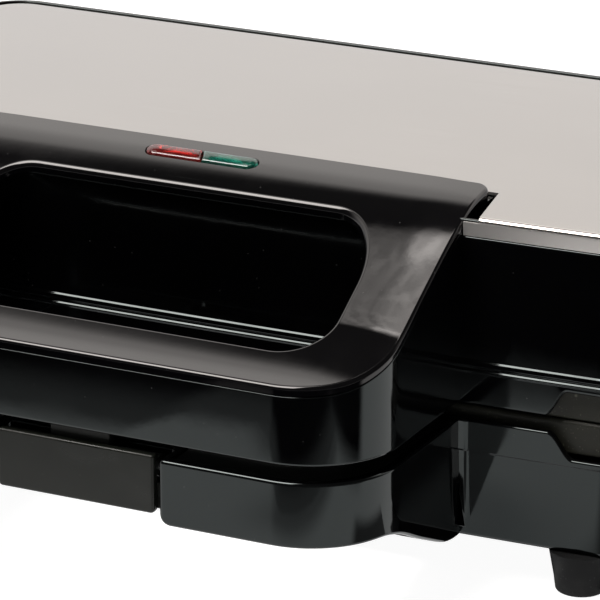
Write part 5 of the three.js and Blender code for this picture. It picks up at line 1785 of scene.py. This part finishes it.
def make_painted_shade_cards():
    """Painted shade: black cards seen only in the machine's gloss, one in front of it and one
    beneath it, that darken its reflections of the floor.

    Each band of shade is given by where it starts and ends and its depth at both ends.
    """
    card_height = 0.002
    start_x, start_y = -0.052, -0.05
    finish = Finish(
        "painted shade card", Roughness=1.0, Base_Color=(0.0, 0.0, 0.0, 1.0), Specular_IOR_Level=0.0,
    )
    tree = finish.tree
    x, y, _ = axes(tree, spot_in(tree))
    edge = y
    for start, end, shift in (
        (start_x, -0.04, 0.02), (-0.02, 0.0, -0.02), (0.0, 0.04, -0.035),
    ):
        edge = maths(tree, "ADD", edge, spread(tree, x, start, end, 0.0, shift))
    alpha = maths(
        tree, "ADD", spread(tree, edge, -0.235, -0.213, 0.76, 0.0),
        spread(tree, edge, -0.277, -0.235, 0.24, 0.0),
    )
    aside = ((x, 0.17, 0.215, 0.0, 1.0), (y, -0.12, -0.095, 1.0, 0.0))
    beside = ((x, 0.0, 0.035, 0.0, 0.6), (y, -0.19, -0.165, 1.0, 0.0))
    corner = (
        (x, 0.107, 0.122, 0.0, 0.85), (x, 0.15, 0.165, 1.0, 0.0), (y, -0.122, -0.108, 0.0, 1.0),
    )
    beneath = ((y, start_y, start_y + 0.001, 0.0, 1.0),)
    for terms in (aside, beside, corner, beneath):
        shade = product(tree, *(spread(tree, *term) for term in terms))
        alpha = finish.larger(alpha, shade)
    finish.set(Alpha=alpha)
    # Both cards are painted shade: only glossy rays see them, and they darken what the machine
    # reflects of the floor.
    for name, *sides in (
        ("card in front", -0.9, 1.2, -1.6, start_x),
        ("card beneath", -0.13, 0.13, -0.04, 0.085),
    ):
        card = flat_sheet(name, *sides, card_height, finish.material)
        for ray in ("camera", "diffuse", "shadow", "transmission"):
            setattr(card, f"visible_{ray}", False)


def make_sky():
    """Studio surroundings: a bright wall behind, a dark ceiling and an overhead soft light.

    Each band of light is given by where it starts and ends and its strength at both ends.
    """
    world = bpy.data.worlds.new("studio")
    bpy.context.scene.world = world
    world.use_nodes = True
    tree = world.node_tree
    way = spot_in(tree, "Generated")
    x, y, z = axes(tree, way)
    ahead = maths(tree, "MULTIPLY_ADD", x, -0.44, maths(tree, "MULTIPLY", y, 0.9))
    wall = product(
        tree, spread(tree, z, 0.3, 0.52, 0.92, 1.7), spread(tree, z, 0.262, 0.3, 1.1, 1.0),
        spread(tree, z, 0.725, 0.825, 1.0, 0.0), spread(tree, ahead, -0.1, 0.3),
    )
    horizon = 0.05
    rise = maths(tree, "MAXIMUM", z, horizon)
    along = maths(tree, "DIVIDE", y, rise)
    across = maths(tree, "DIVIDE", x, rise)
    overhead = product(
        tree, spread(tree, along, 0.19, 0.25, 1.0, 0.0), spread(tree, along, -0.85, -0.7),
        spread(tree, across, -0.14, -0.04, 1.0, 0.0), spread(tree, across, -0.75, -0.6),
    )
    patch = product(
        tree, spread(tree, along, 0.165, 0.2, 0.0, 3.6), spread(tree, across, -0.41, -0.375),
    )
    strip = spread(tree, along, -0.15, -0.08, 17.0, 0.0)
    power = maths(tree, "ADD", spread(tree, across, -0.41, -0.35, 2.1, 4.2), patch)
    power = maths(tree, "MAXIMUM", power, strip)
    mottle = noise(tree, way, 60.0, 3.0)
    power = maths(tree, "MULTIPLY", power, spread(tree, mottle, 0.35, 0.65, 0.75, 1.2))
    lit = maths(tree, "ADD", wall, maths(tree, "MULTIPLY", overhead, power))
    ceiling = 0.08
    tint = node(tree, "ShaderNodeMix", {
        0: spread(tree, z, 0.262, 0.315),
        6: (1.0, 0.985, 0.985, 1.0),
        7: (1.0, 0.955, 0.915, 1.0),
    }, data_type="RGBA").outputs[2]
    feed(tree, tree.nodes["Background"], {
        "Color": tint, "Strength": maths(tree, "ADD", lit, ceiling),
    })


def make_camera():
    """The photograph's viewpoint, found from the object's straight edges."""
    turn = math.radians(26.26)
    tilt = math.radians(19.298)
    lens = bpy.data.cameras.new("camera")
    lens.sensor_width = 36.0
    lens.lens = 256.46
    lens.clip_start = 0.05
    lens.clip_end = 40.0
    camera = bpy.data.objects.new("camera", lens)
    bpy.context.scene.collection.objects.link(camera)
    camera.location = (0.51989, -1.02981, 0.45757)
    ahead = Vector((
        -math.sin(turn) * math.cos(tilt), math.cos(turn) * math.cos(tilt), -math.sin(tilt),
    ))
    camera.rotation_mode = "QUATERNION"
    camera.rotation_quaternion = ahead.to_track_quat("-Z", "Y")
    bpy.context.scene.camera = camera


make_floor()
make_painted_shade_cards()
make_sky()
make_camera()
bpy.context.scene.view_settings.view_transform = "Standard"
